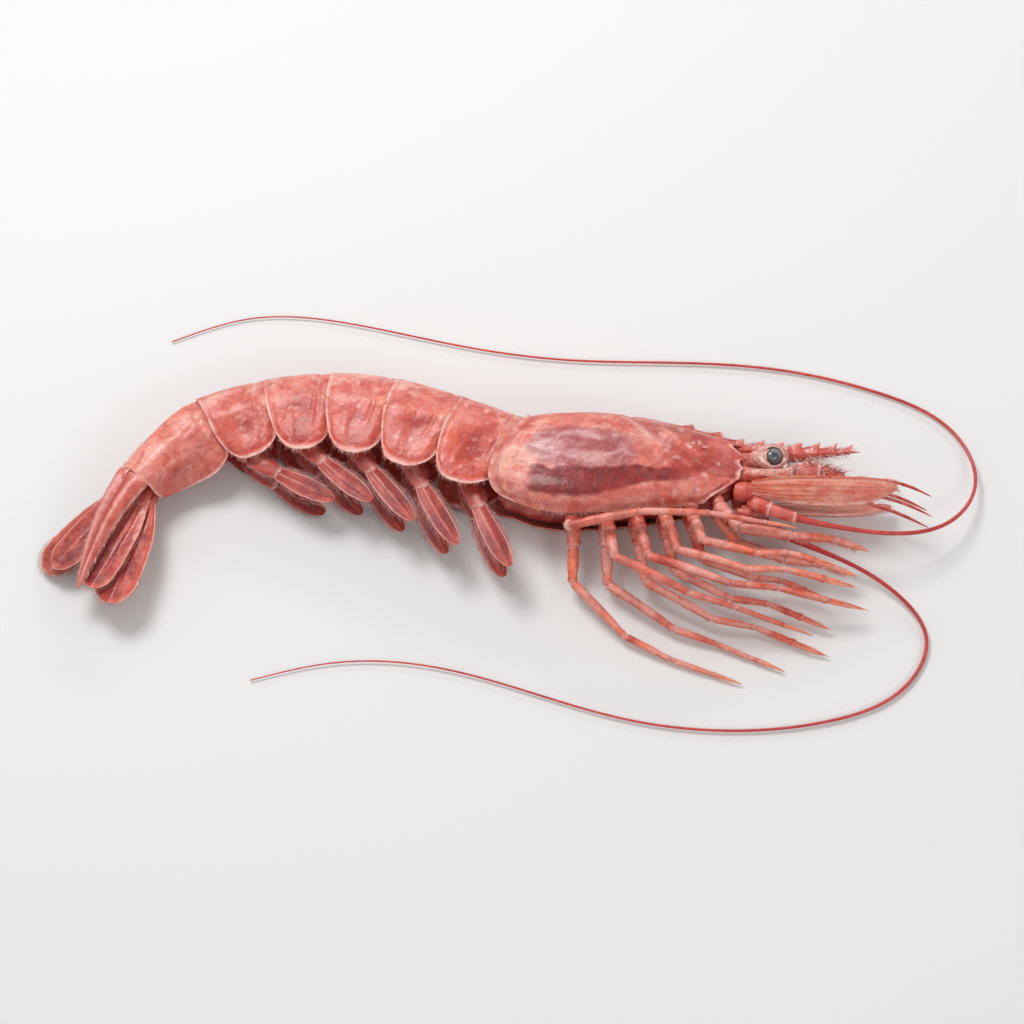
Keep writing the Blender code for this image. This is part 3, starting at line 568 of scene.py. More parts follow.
def abdomen_plate(i):
    nu, nv = 60, 131
    u = np.linspace(0, 1, nu)
    u = u + 0.035 * np.sin(2 * math.pi * u) * -1  # closer rows at the edges
    u = np.clip(u, 0, 1)[:, None] * np.ones((1, nv))
    v = np.linspace(-1, 1, nv)[None, :] * np.ones((nu, 1))
    s_a, s_b = SEGMENT_ENDS[i - 1] - 1.5, SEGMENT_ENDS[i] + (1.3 if i < 6 else 0.2)
    x = 2 * u - 1
    last = i == 6
    lobe = 1 - (0.62 if not last else 0.5) * np.abs(x) ** 3.2
    lobe = np.where(x < 0, 1 - 0.50 * np.abs(x) ** 3.0, lobe)
    tau0 = np.clip((np.abs(v) - V1) / (1 - V1), 0, 1)
    narrow = 1 - (0.20 if not last else 0.1) * tau0**1.6
    mid = (s_a + s_b) / 2
    s = mid + (s_b - s_a) / 2 * x * narrow
    proud = -0.85 + 0.85 * smooth(u / 0.2) + 0.12 * smooth((u - 0.3) / 0.5) + 0.04 * smooth((u - 0.9) / 0.08)
    across, up, tau = abdomen_section(s, v, lobe, proud)
    slope = SLOPE[i - 1] * (1 - u) + SLOPE[i] * u
    s = s + slope * (10 - up) / 23
    p = body(s, across, up)
    n = normals(p)
    # which way is out
    out = np.sign(np.sum(n[nu // 2, nv // 2] * frames(s[nu // 2, nv // 2])[2]))
    n = n * out
    edge_b = (1 - u) * (s_b - s_a)  # mm to the rear edge
    edge_f = u * (s_b - s_a)
    edge_v = (1 - np.abs(v)) * 27.0
    edge = np.minimum(edge_b, edge_v)
    lobe_edge = np.minimum(edge_v, np.minimum(edge_b, edge_f + 6.0 * (1 - smooth((np.abs(v) - 0.40) / 0.12))))
    low = smooth((np.abs(v) - 0.34) / 0.16)
    relief = 0.26 * fbm(p, 8.5, 3, 11 + i) + 0.07 * fbm(p, 2.2, 3, 31 + i) + 0.025 * value_noise(p, 0.6, 51)
    relief += (0.04 + 0.13 * low) * np.exp(-((lobe_edge / 0.42) ** 2)) - 0.13 * low * hump(lobe_edge, 1.25, 0.5)
    relief -= 0.20 * hump(edge_f, 4.6 + 1.6 * np.abs(v), 0.55) * smooth(1 - tau0 * 1.4)
    relief -= 0.50 * hump(u, 0.55, 0.3) * hump(tau0, 0.42, 0.28) * (tau0 > 0)
    relief += 0.34 * hump(u, 0.2, 0.11) * hump(np.abs(v), V1 - 0.02, 0.05)
    relief += 0.12 * hump(u, 0.66, 0.05) * smooth((tau0 - 0.2) / 0.2) * smooth((0.85 - tau0) / 0.15)
    relief -= 0.14 * hump(np.abs(v), 0.30 + 0.05 * np.sin(5 * u + i), 0.035) * smooth(u / 0.2)
    p = p + n * relief[..., None]
    # colour: pink flesh under clear shell, cloudy white muscle, red pigment at joints and flaps
    clouds = fbm(p, 9.0, 3, 60 + i)
    wisps = fbm(p * np.array([0.55, 1.0, 1.0]), 3.2, 4, 80 + i)
    bend = 2.0 * np.stack([fbm(p, 5.0, 2, 7), fbm(p, 5.0, 2, 8), fbm(p, 5.0, 2, 9)], -1)
    muscle = fbm(p + bend, 4.2, 4, 120 + i)
    fine = fbm(p + 0.5 * bend, 1.5, 4, 160 + i)
    c = mix(PINK, SALMON, 0.60 + 1.3 * clouds)
    c = mix(c, CORAL, 0.85 * smooth(wisps * 2.4 + 0.20))
    c = mix(c, PALE, 0.95 * smooth(muscle * 3.4 - 0.05) * (1 - 0.75 * low))
    c = mix(c, RED, 0.38 * smooth(fine * 3.2 - 0.35) * (0.5 + 0.5 * smooth(clouds * 3 + 0.5)))
    c = mix(c, WHITE, 0.34 * smooth(-fine * 3.2 - 0.60) * (1 - 0.6 * low))
    # painted highlight: a pale and white sheen band along each side of the back
    painted_sheen = hump(np.abs(v), 0.20 + 0.03 * np.sin(3 * u + 2 * i), 0.075)
    c = mix(c, PALE, 0.60 * painted_sheen * smooth(0.55 + 2.2 * fbm(p * np.array([0.35, 1, 1]), 3.6, 3, 210 + i)))
    c = mix(c, WHITE, 0.22 * painted_sheen * smooth(0.1 + 2.6 * fbm(p * np.array([0.35, 1, 1]), 2.4, 3, 220 + i)))
    dorsal = np.exp(-((np.abs(v) / 0.075) ** 2))
    c = mix(c, ORANGE, 0.60 * dorsal + 0.22 * np.exp(-((np.abs(v) / 0.2) ** 2)))
    flapin = smooth((np.abs(v) - 0.46) / 0.12)
    c = mix(c, CORAL, 0.95 * flapin * (0.80 + 0.6 * clouds))
    c = mix(c, ORANGE, 0.50 * flapin * smooth(0.15 + 2.6 * fbm(p + bend, 6.0, 3, 190 + i)))
    c = mix(c, rgb(232, 104, 66), 0.60 * hump(u, 0.80, 0.14) * hump(tau0, 0.30, 0.28) * (tau0 > 0) * smooth(0.4 + 2.0 * wisps))
    c = mix(c, RED, 0.75 * flapin * hump(u, 0.50, 0.26) * smooth(0.55 + 1.6 * wisps))
    c = mix(c, DEEP, 0.34 * flapin * hump(u, 0.50, 0.16) * hump(tau0, 0.45, 0.25) * smooth(0.3 + 2.6 * muscle))
    c = mix(c, SALMON, 0.45 * flapin * smooth(muscle * 3 - 0.05))
    c = mix(c, RIM, 0.45 * flapin * smooth(fbm(p, 1.2, 3, 140) * 3.4 - 0.90))
    c = mix(c, CORAL, 0.80 * np.exp(-((edge_f / 3.0) ** 2)) * (1 - low))
    c = mix(c, RED, (0.75 - 0.35 * low) * hump(edge_b, 1.05, 0.34) * (0.55 + 0.9 * clouds))
    c = mix(c, PALE, 0.60 * hump(edge_b, 2.4, 0.8) * (1 - low) * smooth(0.3 + 2.0 * wisps))
    c = mix(c, RED, 0.34 * hump(edge_f, 5.0 + 1.6 * np.abs(v), 0.35) * (1 - low))
    c = mix(c, ORANGE, 0.70 * low * hump(lobe_edge, 1.25, 0.36))
    c = mix(c, RIM, (0.22 + 0.76 * low) * np.exp(-((lobe_edge / 0.66) ** 2)) * smooth(0.75 + 1.6 * wisps))
    c = mix(c, WHITE, 0.60 * low * np.exp(-((lobe_edge / 0.36) ** 2)) * smooth(0.5 + 2.0 * muscle))
    c = mix(c, CREAM, 0.4 * hump(u, 0.2, 0.1) * hump(np.abs(v), V1 - 0.02, 0.05))
    if last:
        c = mix(c, rgb(238, 158, 142), 0.50 * (1 - 0.6 * low) * smooth(0.75 + 1.8 * muscle))
    b = Build()
    thick = 0.34 - 0.12 * np.exp(-((edge / 1.2) ** 2))
    shell(b, p, thick, c, mix(c, CORAL, 0.5 * np.ones_like(u)), flip=out < 0)
    # fringe of short bristles along the flap edges
    rng = np.random.default_rng(500 + i)
    for j, sgn in ((nv - 1, 1.0), (0, -1.0)):
        rows = rng.uniform(0.08 * nu, 0.93 * nu, 46 if i < 6 else 16)
        k = rows.astype(int)
        f = (rows - k)[:, None]
        root = p[k, j] * (1 - f) + p[np.minimum(k + 1, nu - 1), j] * f
        _, t, d, l = frames(s[k, j])
        along = -d * 1.0 - l * (0.35 * sgn) + t * rng.normal(0.15, 0.35, (len(k), 1))
        hairs(b, root, along, rng.uniform(0.5, 1.3, len(k)), 0.05, mix(RIM, CORAL, 0.35 + 0 * rows), bend=-l * 0.2 * sgn)
    if last:
        _, t, d, _ = frames(np.array(94.6))
        spine(b, body(np.array(94.4), np.array(0.0), np.array(back(94.4) + 0.25)), t * 1.0 + d * 0.12, 2.3, 0.42, SALMON, WHITE)
    return b.make(f"plate_{i}", SHELL, [f"abdomen_{i}"])


def abdomen_belly():
    """The soft underside between the flaps, with a cross ridge at each segment."""
    nu, nv = 150, 48
    s = np.linspace(-0.5, 95.2, nu)[:, None] * np.ones((1, nv))
    a = np.linspace(0, 2 * math.pi, nv, endpoint=False)[None, :] * np.ones((nu, 1))
    seg = np.interp(s, SEGMENT_ENDS, np.arange(7))
    wave = np.cos(2 * math.pi * (seg - 0.5))
    b_, w, hd = belly(s), half_width(s) - 1.7, back(s) - 1.8
    end = 1 - 0.35 * smooth((s - 92.5) / 2.7)
    low = np.clip(-np.cos(a), 0, 1)
    b_ = b_ * 0.90 + 0.55 * wave * low**0.5
    across = w * np.sign(np.sin(a)) * np.abs(np.sin(a)) ** (1 - 0.25 * (low > 0)) * end * (1 - 0.08 * low)
    up = np.where(np.cos(a) > 0, hd * np.cos(a), -b_ * low**0.8) * end
    s = s + np.interp(s, SEGMENT_ENDS, SLOPE) * (10 - up) / 23 * 0.8
    p = body(s, across, up)
    centre = body(s, 0 * a, 0 * a)
    p = p + unit(p - centre) * (0.25 * fbm(p, 3.0, 3, 5) + 0.3 * hump(np.abs(np.sin(a)), 0.0, 0.12) * low - 0.25 * hump(np.abs(np.sin(a)), 0.45, 0.1) * low)[..., None]
    c = mix(PINK, SALMON, 0.5 + fbm(p, 4.0, 3, 6))
    c = mix(c, PALE, 0.8 * smooth(wave * 1.4 - 0.1) * low)
    c = mix(c, RED, 0.55 * smooth(0.2 - wave) * low)
    c = mix(c, DEEP, 0.30 * smooth(-0.1 - wave) * low)
    b = Build()
    loft(b, p, c)
    return b.make("belly", SOFT)


# ------------------------------------------------------------------ carapace
_PROFILE = [(0.0, 1.0, 0.0)]
for _a in (14, 32, 52, 72, 90):
    _q = math.radians(_a)
    _PROFILE.append((math.sin(_q) ** 0.95, math.cos(_q) ** 0.92 if _a < 90 else 0.0, 0.0))
for _t, _part in ((0.32, 0.985), (0.62, 0.93), (0.84, 0.83), (0.96, 0.68), (1.0, 0.52)):
    _PROFILE.append((_part, 0.0, _t))
_PROFILE = np.array(_PROFILE)
_typ = np.stack([_PROFILE[:, 0] * 10.3, _PROFILE[:, 1] * 11.3 - _PROFILE[:, 2] * 13.8], -1)
_len = np.concatenate([[0], np.cumsum(np.linalg.norm(np.diff(_typ, axis=0), axis=1))])
PROFILE_LENGTH = _len[-1]
_px = curve_through(list(zip(_len / _len[-1], _PROFILE[:, 0])))
_py = curve_through(list(zip(_len / _len[-1], _PROFILE[:, 1] * 11.3 - _PROFILE[:, 2] * 13.8)))


def carapace_section(s, v):
    q = np.abs(v)
    across = c_width(s) * np.clip(_px(q), 0, None)
    y = _py(q)
    up = np.where(y > 0, y / 11.3 * c_back(s), y / 13.8 * c_depth(s))
    return across * np.sign(v), up


def carapace():
    nu, nv = 152, 181
    u = np.linspace(0, 1, nu)[:, None] * np.ones((1, nv))
    v = np.linspace(-1, 1, nv)[None, :] * np.ones((nu, 1))
    q = np.abs(v)
    y = _py(q)  # roughly how far up, mm
    front = -50.2 + 2.6 * hump(q, 0.235, 0.085) - 2.3 * np.exp(-np.abs(q - 0.375) / 0.022) + 0.6 * hump(q, 0.45, 0.04)
    front = front - 0.8 * np.exp(-np.abs(q - 0.53) / 0.02) + 7.5 * smooth((q - 0.62) / 0.38) ** 1.6
    rear = 0.7 + 4.9 * smooth((q - 0.22) / 0.42) - 8.6 * (1 - np.sqrt(np.clip(1 - np.clip((q - 0.74) / 0.26, 0, 1) ** 2, 0, 1))) ** 1.1
    s = front + (rear - front) * u
    across, up = carapace_section(s, v)
    ridge = 1.15 * (1 - smooth((s + 16) / 15)) * np.exp(-((q / 0.045) ** 2))
    for tooth in TEETH:
        if tooth > -51:
            k = (s - tooth) / 3.2
            ridge += np.where((k >= 0) & (k < 1), 1.25 * np.clip(1 - k, 0, 1) ** 1.5, 0) * np.exp(-((q / 0.028) ** 2))
            ridge += np.where((k < 0) & (k > -0.12), 1.25 * (1 + k / 0.12), 0) * np.exp(-((q / 0.028) ** 2))
    up = up + ridge
    p = body(s, across, up)
    n = normals(p)
    out = np.sign(np.sum(n[nu // 2, nv // 2] * np.array([0, 1.0, 0])))
    n = n * out
    edge_b, edge_f, edge_v = (1 - u) * (rear - front), u * (rear - front), (1 - q) * PROFILE_LENGTH
    edge = np.minimum(np.minimum(edge_b, edge_v), edge_f * 1.3)

    def line(points, width):
        """Nearness to a polyline in (s, y)."""
        best = np.full(s.shape, 1e9)
        for (s0, y0), (s1, y1) in zip(points, points[1:]):
            d = np.array([s1 - s0, y1 - y0])
            t = np.clip(((s - s0) * d[0] + (y - y0) * d[1]) / (d @ d), 0, 1)
            best = np.minimum(best, np.hypot(s - s0 - t * d[0], y - y0 - t * d[1]))
        return np.exp(-((best / width) ** 2))

    cervical = line([(-24.5, 10.6), (-28.5, 7.0), (-33.5, 3.0), (-38.0, -0.5), (-41.0, -3.4)], 1.05)
    hepatic = line([(-41.0, -3.4), (-45.5, -5.2), (-49, -5.6)], 0.9)
    branchial = line([(-33.0, 1.5), (-26, 2.4), (-16, 3.4), (-6, 3.8), (1, 3.6)], 1.0)
    hepatic_knob = line([(-41.5, 0.8), (-39.5, 0.4)], 1.6)
    relief = 0.24 * fbm(p, 10, 3, 3) + 0.055 * fbm(p, 1.7, 3, 4) + 0.03 * value_noise(p, 0.55, 8)
    relief -= 0.55 * cervical + 0.42 * hepatic
    relief += 0.34 * line([(-30.0, 9.0), (-34, 5.2), (-39, 1.6), (-43, -1.2)], 1.6) + 0.3 * hepatic_knob
    relief += 0.20 * branchial - 0.16 * line([(-30.0, 3.6), (-16, 5.0), (-2, 5.2)], 1.1)
    relief += 0.16 * np.exp(-((edge / 0.5) ** 2)) - 0.24 * hump(edge, 1.5, 0.6)
    relief += 0.34 * hump(edge_v, 5.2, 2.0) * smooth((s + 38) / 10)
    p = p + n * relief[..., None]
    # colour
    bend = 2.2 * np.stack([fbm(p, 6.0, 2, 17), fbm(p, 6.0, 2, 18), fbm(p, 6.0, 2, 19)], -1)
    clouds, wisps, fine = fbm(p, 10, 3, 21), fbm((p + bend) * np.array([0.6, 1, 1]), 3.4, 4, 22), fbm(p + 0.4 * bend, 1.5, 4, 23)
    blot = fbm(p + bend, 4.4, 4, 30)
    fore = smooth((-24 - s) / 14)
    c = mix(SALMON, PINK, 0.45 + 1.2 * clouds)
    c = mix(c, CORAL, 0.70 * smooth(wisps * 2.2 + 0.10))
    c = mix(c, PALE, 0.70 * smooth(blot * 3.0 - 0.05) * (1 - 0.55 * fore))
    c = mix(c, ORANGE, 0.60 * smooth((y - 5.5) / 6) * smooth(0.55 + 1.6 * wisps))
    c = mix(c, CREAM, 0.50 * smooth((y - 3.5) / 3) * smooth((10.5 - y) / 3) * smooth((s + 30) / 6) * smooth(0.1 + 2.4 * blot))
    # the gill chamber: a pale mauve D at the rear, sharp below, over a dark red band
    wob = 1.6 * fbm(p, 4.5, 3, 31) + 0.9 * fbm(p, 1.8, 3, 32)
    g1, g2 = (s + 13.8) / 13.2, (y + 0.2) / 5.5
    chamber = smooth((1.08 - (np.abs(g1) ** 2.6 + np.abs(np.where(g2 < 0, g2 * 1.05, g2)) ** 2.4) + 0.10 * wob) / np.where(g2 < 0, 0.30, 0.62))
    ahead = smooth((-13 - s) / 8) * (-13 - s)
    band = (smooth((-4.8 + 0.07 * ahead + 0.7 * wob - y) / 0.9) * smooth((y + 12.2 - 0.17 * ahead + 0.6 * wob) / 1.4)
            * smooth((s + 40.5 + 0.5 * wob) / 7) * smooth((-2.0 - s + 0.6 * wob) / 2.0))
    streak = fbm((p + bend) * np.array([0.35, 1.15, 1.15]), 3.0, 4, 27)
    c = mix(c, rgb(156, 78, 80), 0.90 * chamber)
    c = mix(c, rgb(200, 142, 147), 0.76 * chamber * smooth(0.18 + 2.6 * streak))
    c = mix(c, WHITE, 0.22 * chamber * smooth(-0.50 + 3.2 * streak))
    c = mix(c, RED, 0.46 * chamber * smooth(-0.30 + 3.0 * fbm(p + 0.5 * bend, 1.7, 4, 28)))
    c = mix(c, RIM, 0.34 * chamber * smooth(-0.55 + 3.2 * fbm(p + bend, 1.9, 4, 33)))
    c = mix(c, RED, 0.98 * band)
    c = mix(c, rgb(104, 16, 20), 0.84 * band * smooth(0.85 + 1.5 * blot))
    c = mix(c, CORAL, 0.20 * band * smooth(-0.5 + 2.6 * streak))
    corner = smooth((s + 7) / 5) * smooth((-1.0 - y) / 4) * (1 - 0.85 * band)
    c = mix(c, PALE, 0.55 * corner * smooth(0.5 + 1.6 * wisps))
    c = mix(c, CREAM, 0.35 * corner * smooth(0.2 + 2.2 * blot))
    margin = smooth((-10.8 - y) / 1.4) * (1 - 0.8 * band)
    c = mix(c, SALMON, 0.75 * margin)
    c = mix(c, PALE, 0.50 * margin * smooth(0.3 + 2.2 * wisps))
    # organs that show through at the front
    organs = smooth((-25 - s) / 5) * smooth((s + 46) / 5) * smooth((y + 4.5) / 4) * smooth((10.5 - y) / 3)
    c = mix(c, OLIVE, 0.70 * organs * smooth(0.40 + 2.2 * fbm(p, 5.2, 3, 24)))
    c = mix(c, BROWN, 0.72 * organs * smooth(-0.10 + 2.8 * fbm(p + bend, 3.4, 4, 25)))
    c = mix(c, CORAL, 0.70 * fore * smooth(0.30 + 2.4 * fbm(p, 4.6, 3, 26)))
    c = mix(c, RED, 0.66 * fore * smooth(-0.10 + 3.0 * fbm(p + bend, 2.8, 4, 29)))
    c = mix(c, RED, 0.62 * smooth((y - 6.4) / 1.6) * smooth((10.6 - y) / 1.4) * smooth((-20 - s) / 5) * smooth((s + 46) / 5) * smooth(0.65 + 1.6 * wisps))
    c = mix(c, WHITE, 0.55 * line([(-27.5, 5.6), (-31.0, 4.6), (-33.5, 2.4)], 0.55))
    c = mix(c, MAUVE, 0.50 * smooth((-43 - s) / 4) * smooth((y + 6) / 4) * smooth((8 - y) / 4))
    c = mix(c, LILAC, 0.55 * smooth((-43 - s) / 4) * smooth((y + 6) / 4) * smooth((8 - y) / 4) * smooth(2.6 * blot))
    c = mix(c, WHITE, 0.50 * smooth(fine * 3.4 - 0.75) * (0.35 + 0.65 * fore) * (1 - 0.9 * band))
    c = mix(c, RED, 0.45 * smooth(-fine * 3.4 - 0.45) * (1 - 0.5 * chamber))
    c = mix(c, RED, 0.50 * cervical + 0.35 * hepatic)
    c = mix(c, PALE, 0.55 * line([(-22.8, 10.0), (-27.0, 6.2), (-31.5, 2.2)], 0.8))
    c = mix(c, RED, 0.45 * np.exp(-((q / 0.045) ** 2)))
    c = mix(c, RED, 0.55 * hump(edge_b, 1.8, 0.5) + 0.25 * hump(edge_f, 1.5, 0.5))
    c = mix(c, RIM, 0.85 * np.exp(-((np.minimum(edge_b, edge_f * 1.2) / 0.62) ** 2)) * smooth(0.6 + 1.6 * wisps))
    c = mix(c, CREAM, 0.45 * np.exp(-((edge_v / 0.6) ** 2)))
    c = mix(c, ORANGE, 0.8 * hump(q, 0.40, 0.05) * np.exp(-((edge_f / 2.6) ** 2)))
    b = Build()
    shell(b, p, 0.42 - 0.14 * np.exp(-((edge / 1.2) ** 2)), c, mix(mix(c, CORAL, 0.5 + 0 * u), PALE, 0.35 + 0 * u), flip=out < 0)
    # rostrum: a toothed blade that grows out of the ridge
    ms, mt = 230, 24
    rs = np.linspace(-77.0, -41.0, ms)[:, None] * np.ones((1, mt))
    ra = np.linspace(0, 2 * math.pi, mt, endpoint=False)[None, :] * np.ones((ms, 1))
    saw = np.zeros_like(rs)
    for k, tooth in enumerate(TEETH):
        if tooth < -44:
            g = (rs - tooth) / (3.3 if tooth > -70 else 2.7)
            saw += np.where((g >= 0) & (g < 1), 1.75 * np.clip(1 - g, 0, 1) ** 1.7, 0) + np.where((g < 0) & (g > -0.10), 1.75 * (1 + g / 0.10), 0)
    top = r_top(rs) - 0.15 + saw * (np.cos(ra) > 0.2)
    bottom = r_bottom(rs) - 0.55 * smooth((rs + 76) / 10) - 0.9 * hump(rs, -61.0, 6.0)
    top = np.where(rs > -50, np.maximum(c_back(rs) + 0.9, bottom + 1) + saw * (np.cos(ra) > 0.2), top)
    bottom = np.where(rs > -50, r_bottom(-50) - 0.55 + (rs + 50) * 0.15, bottom)
    wide = (0.30 + 1.15 * smooth((rs + 77) / 26)) * (1 + 0.35 * hump(np.cos(ra), -0.15, 0.3))
    tip = smooth((rs + 77.2) / 3.2)
    mid, half = (top + bottom) / 2, (top - bottom) / 2
    taper = np.where(np.cos(ra) > 0, (1 - 0.72 * np.clip(np.cos(ra), 0, 1) ** 1.2), 1 - 0.35 * np.abs(np.cos(ra)))
    ps = rs - 0.35 * saw * smooth(np.cos(ra))
    rp = body(ps, wide * np.sin(ra) * taper * (0.35 + 0.65 * tip), mid + half * np.cos(ra) * (0.25 + 0.75 * tip))
    rc = mix(SALMON, CORAL, 0.6 + 0.8 * fbm(rp, 3.0, 3, 41))
    rc = mix(rc, ORANGE, 0.55 * smooth(np.cos(ra)))
    rc = mix(rc, RIM, 0.8 * smooth(saw / 1.2) * smooth(np.cos(ra) * 2 - 1))
    rc = mix(rc, RED, 0.5 * hump(np.cos(ra), -0.35, 0.2))
    rc = mix(rc, RED, 0.5 * smooth(fbm(rp, 1.8, 3, 43) * 3 - 0.2))
    rc = mix(rc, WHITE, 0.60 * smooth(fbm(rp, 1.0, 3, 42) * 3.4 - 0.35) * smooth(np.cos(ra) * 1.6 + 0.4))
    rc = mix(rc, DEEP, 0.55 * smooth((-np.cos(ra) - 0.45) / 0.3) * (rs < -51))
    loft(b, rp, rc)
    rng = np.random.default_rng(94)
    at = rng.uniform(-74.0, -53.0, 150)
    drop = r_bottom(at) - 0.45 * smooth((at + 76) / 10) - 0.9 * hump(at, -61.0, 6.0)
    side_ = np.where(rng.random(150) < 0.5, 1.0, -1.0)
    root = body(at, side_ * rng.uniform(0.15, 0.9, 150), drop + rng.uniform(0.1, 1.0, 150))
    _, t, d, l = frames(at)
    hairs(b, root, -d * 1.0 - t * rng.uniform(0.2, 1.0, (150, 1)) + l * (side_ * rng.uniform(0.1, 0.6, 150))[:, None], rng.uniform(1.2, 2.2, 150), 0.085,
          mix(RIM, CORAL, 0.35 + 0 * at), bend=-t * 0.5 + d * 0.25, tip_colour=WHITE)
    # thorns at the front edge
    for _, sgn in SIDES:
        for qv, length, rad in ((0.375, 2.0, 0.42), (0.53, 1.0, 0.3)):
            j = int(round((sgn * qv + 1) / 2 * (nv - 1)))
            root = p[3, j]
            _, t, d, l = frames(s[3, j])
            spine(b, root, -t + l * 0.10 * sgn, length, rad, CORAL, WHITE, up=-l * 0.05 * sgn)
        j = int(round((sgn * 0.40 + 1) / 2 * (nv - 1)))
        root = p[int(0.19 * nu), j]
        _, t, d, l = frames(s[int(0.19 * nu), j])
        spine(b, root, -t + l * 0.45 * sgn, 1.6, 0.4, CORAL, WHITE, up=-l * 0.2 * sgn)
    # short bristles between the teeth, and along the lower edges
    rng = np.random.default_rng(90)
    at = rng.uniform(-76, -40, 230)
    lift = np.where(at < -50, r_top(at) - 0.3, c_back(at) + 0.7)
    root = body(at, rng.uniform(-0.35, 0.35, 230), lift)
    _, t, d, l = frames(at)
    hairs(b, root, d * 1.0 - t * rng.uniform(0.5, 1.3, (230, 1)) + l * rng.normal(0, 0.25, (230, 1)), rng.uniform(0.7, 1.7, 230), 0.05,
          RIM, bend=-t * 0.3)
    for j, sgn in ((nv - 1, 1.0), (0, -1.0)):
        rows = rng.uniform(0.06 * nu, 0.97 * nu, 150)
        kk = rows.astype(int)
        _, t, d, l = frames(s[kk, j])
        hairs(b, p[kk, j], -d * 1.0 - l * 0.5 * sgn - t * rng.normal(0.4, 0.3, (150, 1)), rng.uniform(0.5, 1.2, 150), 0.045, mix(RIM, CORAL, 0.4 + 0 * rows))
    return b.make("carapace_shell", SHELL, ["carapace"])


_UNDER = [(0.0, 1.0), (0.24, 0.965), (0.53, 0.85), (0.79, 0.64), (0.95, 0.34), (1.0, 0.0), (0.985, -0.32), (0.93, -0.60), (0.83, -0.80),
          (0.70, -0.885), (0.50, -0.865), (0.34, -0.80), (0.18, -0.765), (0.0, -0.755)]
_under_length = np.concatenate([[0], np.cumsum(np.hypot(*np.diff(np.array(_UNDER), axis=0).T))])
_under_a = curve_through(list(zip(_under_length / _under_length[-1], [q[0] for q in _UNDER])))
_under_u = curve_through(list(zip(_under_length / _under_length[-1], [q[1] for q in _UNDER])))


def carapace_core():
    """The flesh under the carapace: the underside that carries the legs, and the face between the eyes."""
    nu, nv = 124, 76
    s = np.linspace(-51.6, 3.4, nu)[:, None] * np.ones((1, nv))
    h = np.linspace(-1, 1, nv, endpoint=False)[None, :] * np.ones((nu, 1))
    q = np.abs(h)
    sgn = np.sign(h)
    nose = np.sqrt(np.clip(1 - np.clip((-43.5 - s) / 8.3, 0, 1) ** 2, 0.0, 1)) * 0.95 + 0.05
    tail = 1 - 0.18 * smooth((s - 0.5) / 3)
    w, hd, hv = c_width(s) - 0.75, c_back(s) - 1.0, c_depth(s) * 0.965
    across = w * np.clip(_under_a(q), 0, None) * sgn * nose * tail
    un = _under_u(q)
    up = np.where(un > 0, hd * un, hv * un) * nose * tail
    under = smooth((q - 0.68) / 0.08)
    coxa = np.cos(2 * math.pi * (s + 13.0) / 6.6) * smooth((s + 50) / 4) * smooth((-9 - s) / 4)
    sock = hump(np.abs(across), 3.2, 1.3) * under
    p = body(s, across, up)
    centre = body(s, 0 * h, 0 * h - 3)
    lines = smooth((s + 46) / 3) * smooth((-8 - s) / 3)
    relief = 0.20 * fbm(p, 3.0, 3, 71) + 0.06 * fbm(p, 1.0, 2, 73) + 0.95 * (0.5 + 0.5 * coxa) * sock * lines - 0.55 * hump(across, 0.0, 0.55) * under
    relief -= 0.35 * hump(q, 0.685, 0.012)
    p = p + unit(p - centre) * relief[..., None]
    c = mix(SALMON, CORAL, 0.4 + fbm(p, 3.4, 3, 72))
    # painted shade: the lower sides and underside darker red, darkest along the middle of the underside
    c = mix(c, RED, 0.60 * smooth((q - 0.55) / 0.1) * smooth(0.5 + 2 * fbm(p, 2.4, 4, 75)))
    c = mix(c, DEEP, 0.45 * smooth((q - 0.58) / 0.1) * smooth(0.2 + 2.4 * fbm(p, 3.4, 3, 76)))
    c = mix(c, PALE, 0.50 * sock * smooth(coxa + 0.3))
    # painted shade between the leg sockets and in the crease along the edge of the underside
    c = mix(c, RED, 0.55 * under * smooth(-coxa * 0.9) + 0.35 * hump(q, 0.685, 0.02))
    c = mix(c, DEEP, 0.45 * hump(across, 0.0, 0.7) * under)
    c = mix(c, RED, 0.45 * smooth((-46.5 - s) / 3.0))
    c = mix(c, CREAM, 0.4 * smooth((-46.5 - s) / 3.0) * smooth(-0.2 + 2 * fbm(p, 2.0, 3, 74)))
    b = Build()
    loft(b, p, c)
    return b.make("head_flesh", SOFT)


# ------------------------------------------------------------------ head
HP, HT, HD, HL = (a[()] for a in frames(np.array(-50.0)))
HF = -HT


def head(f, d, l):
    return HP + HF * f + HD * d + HL * l


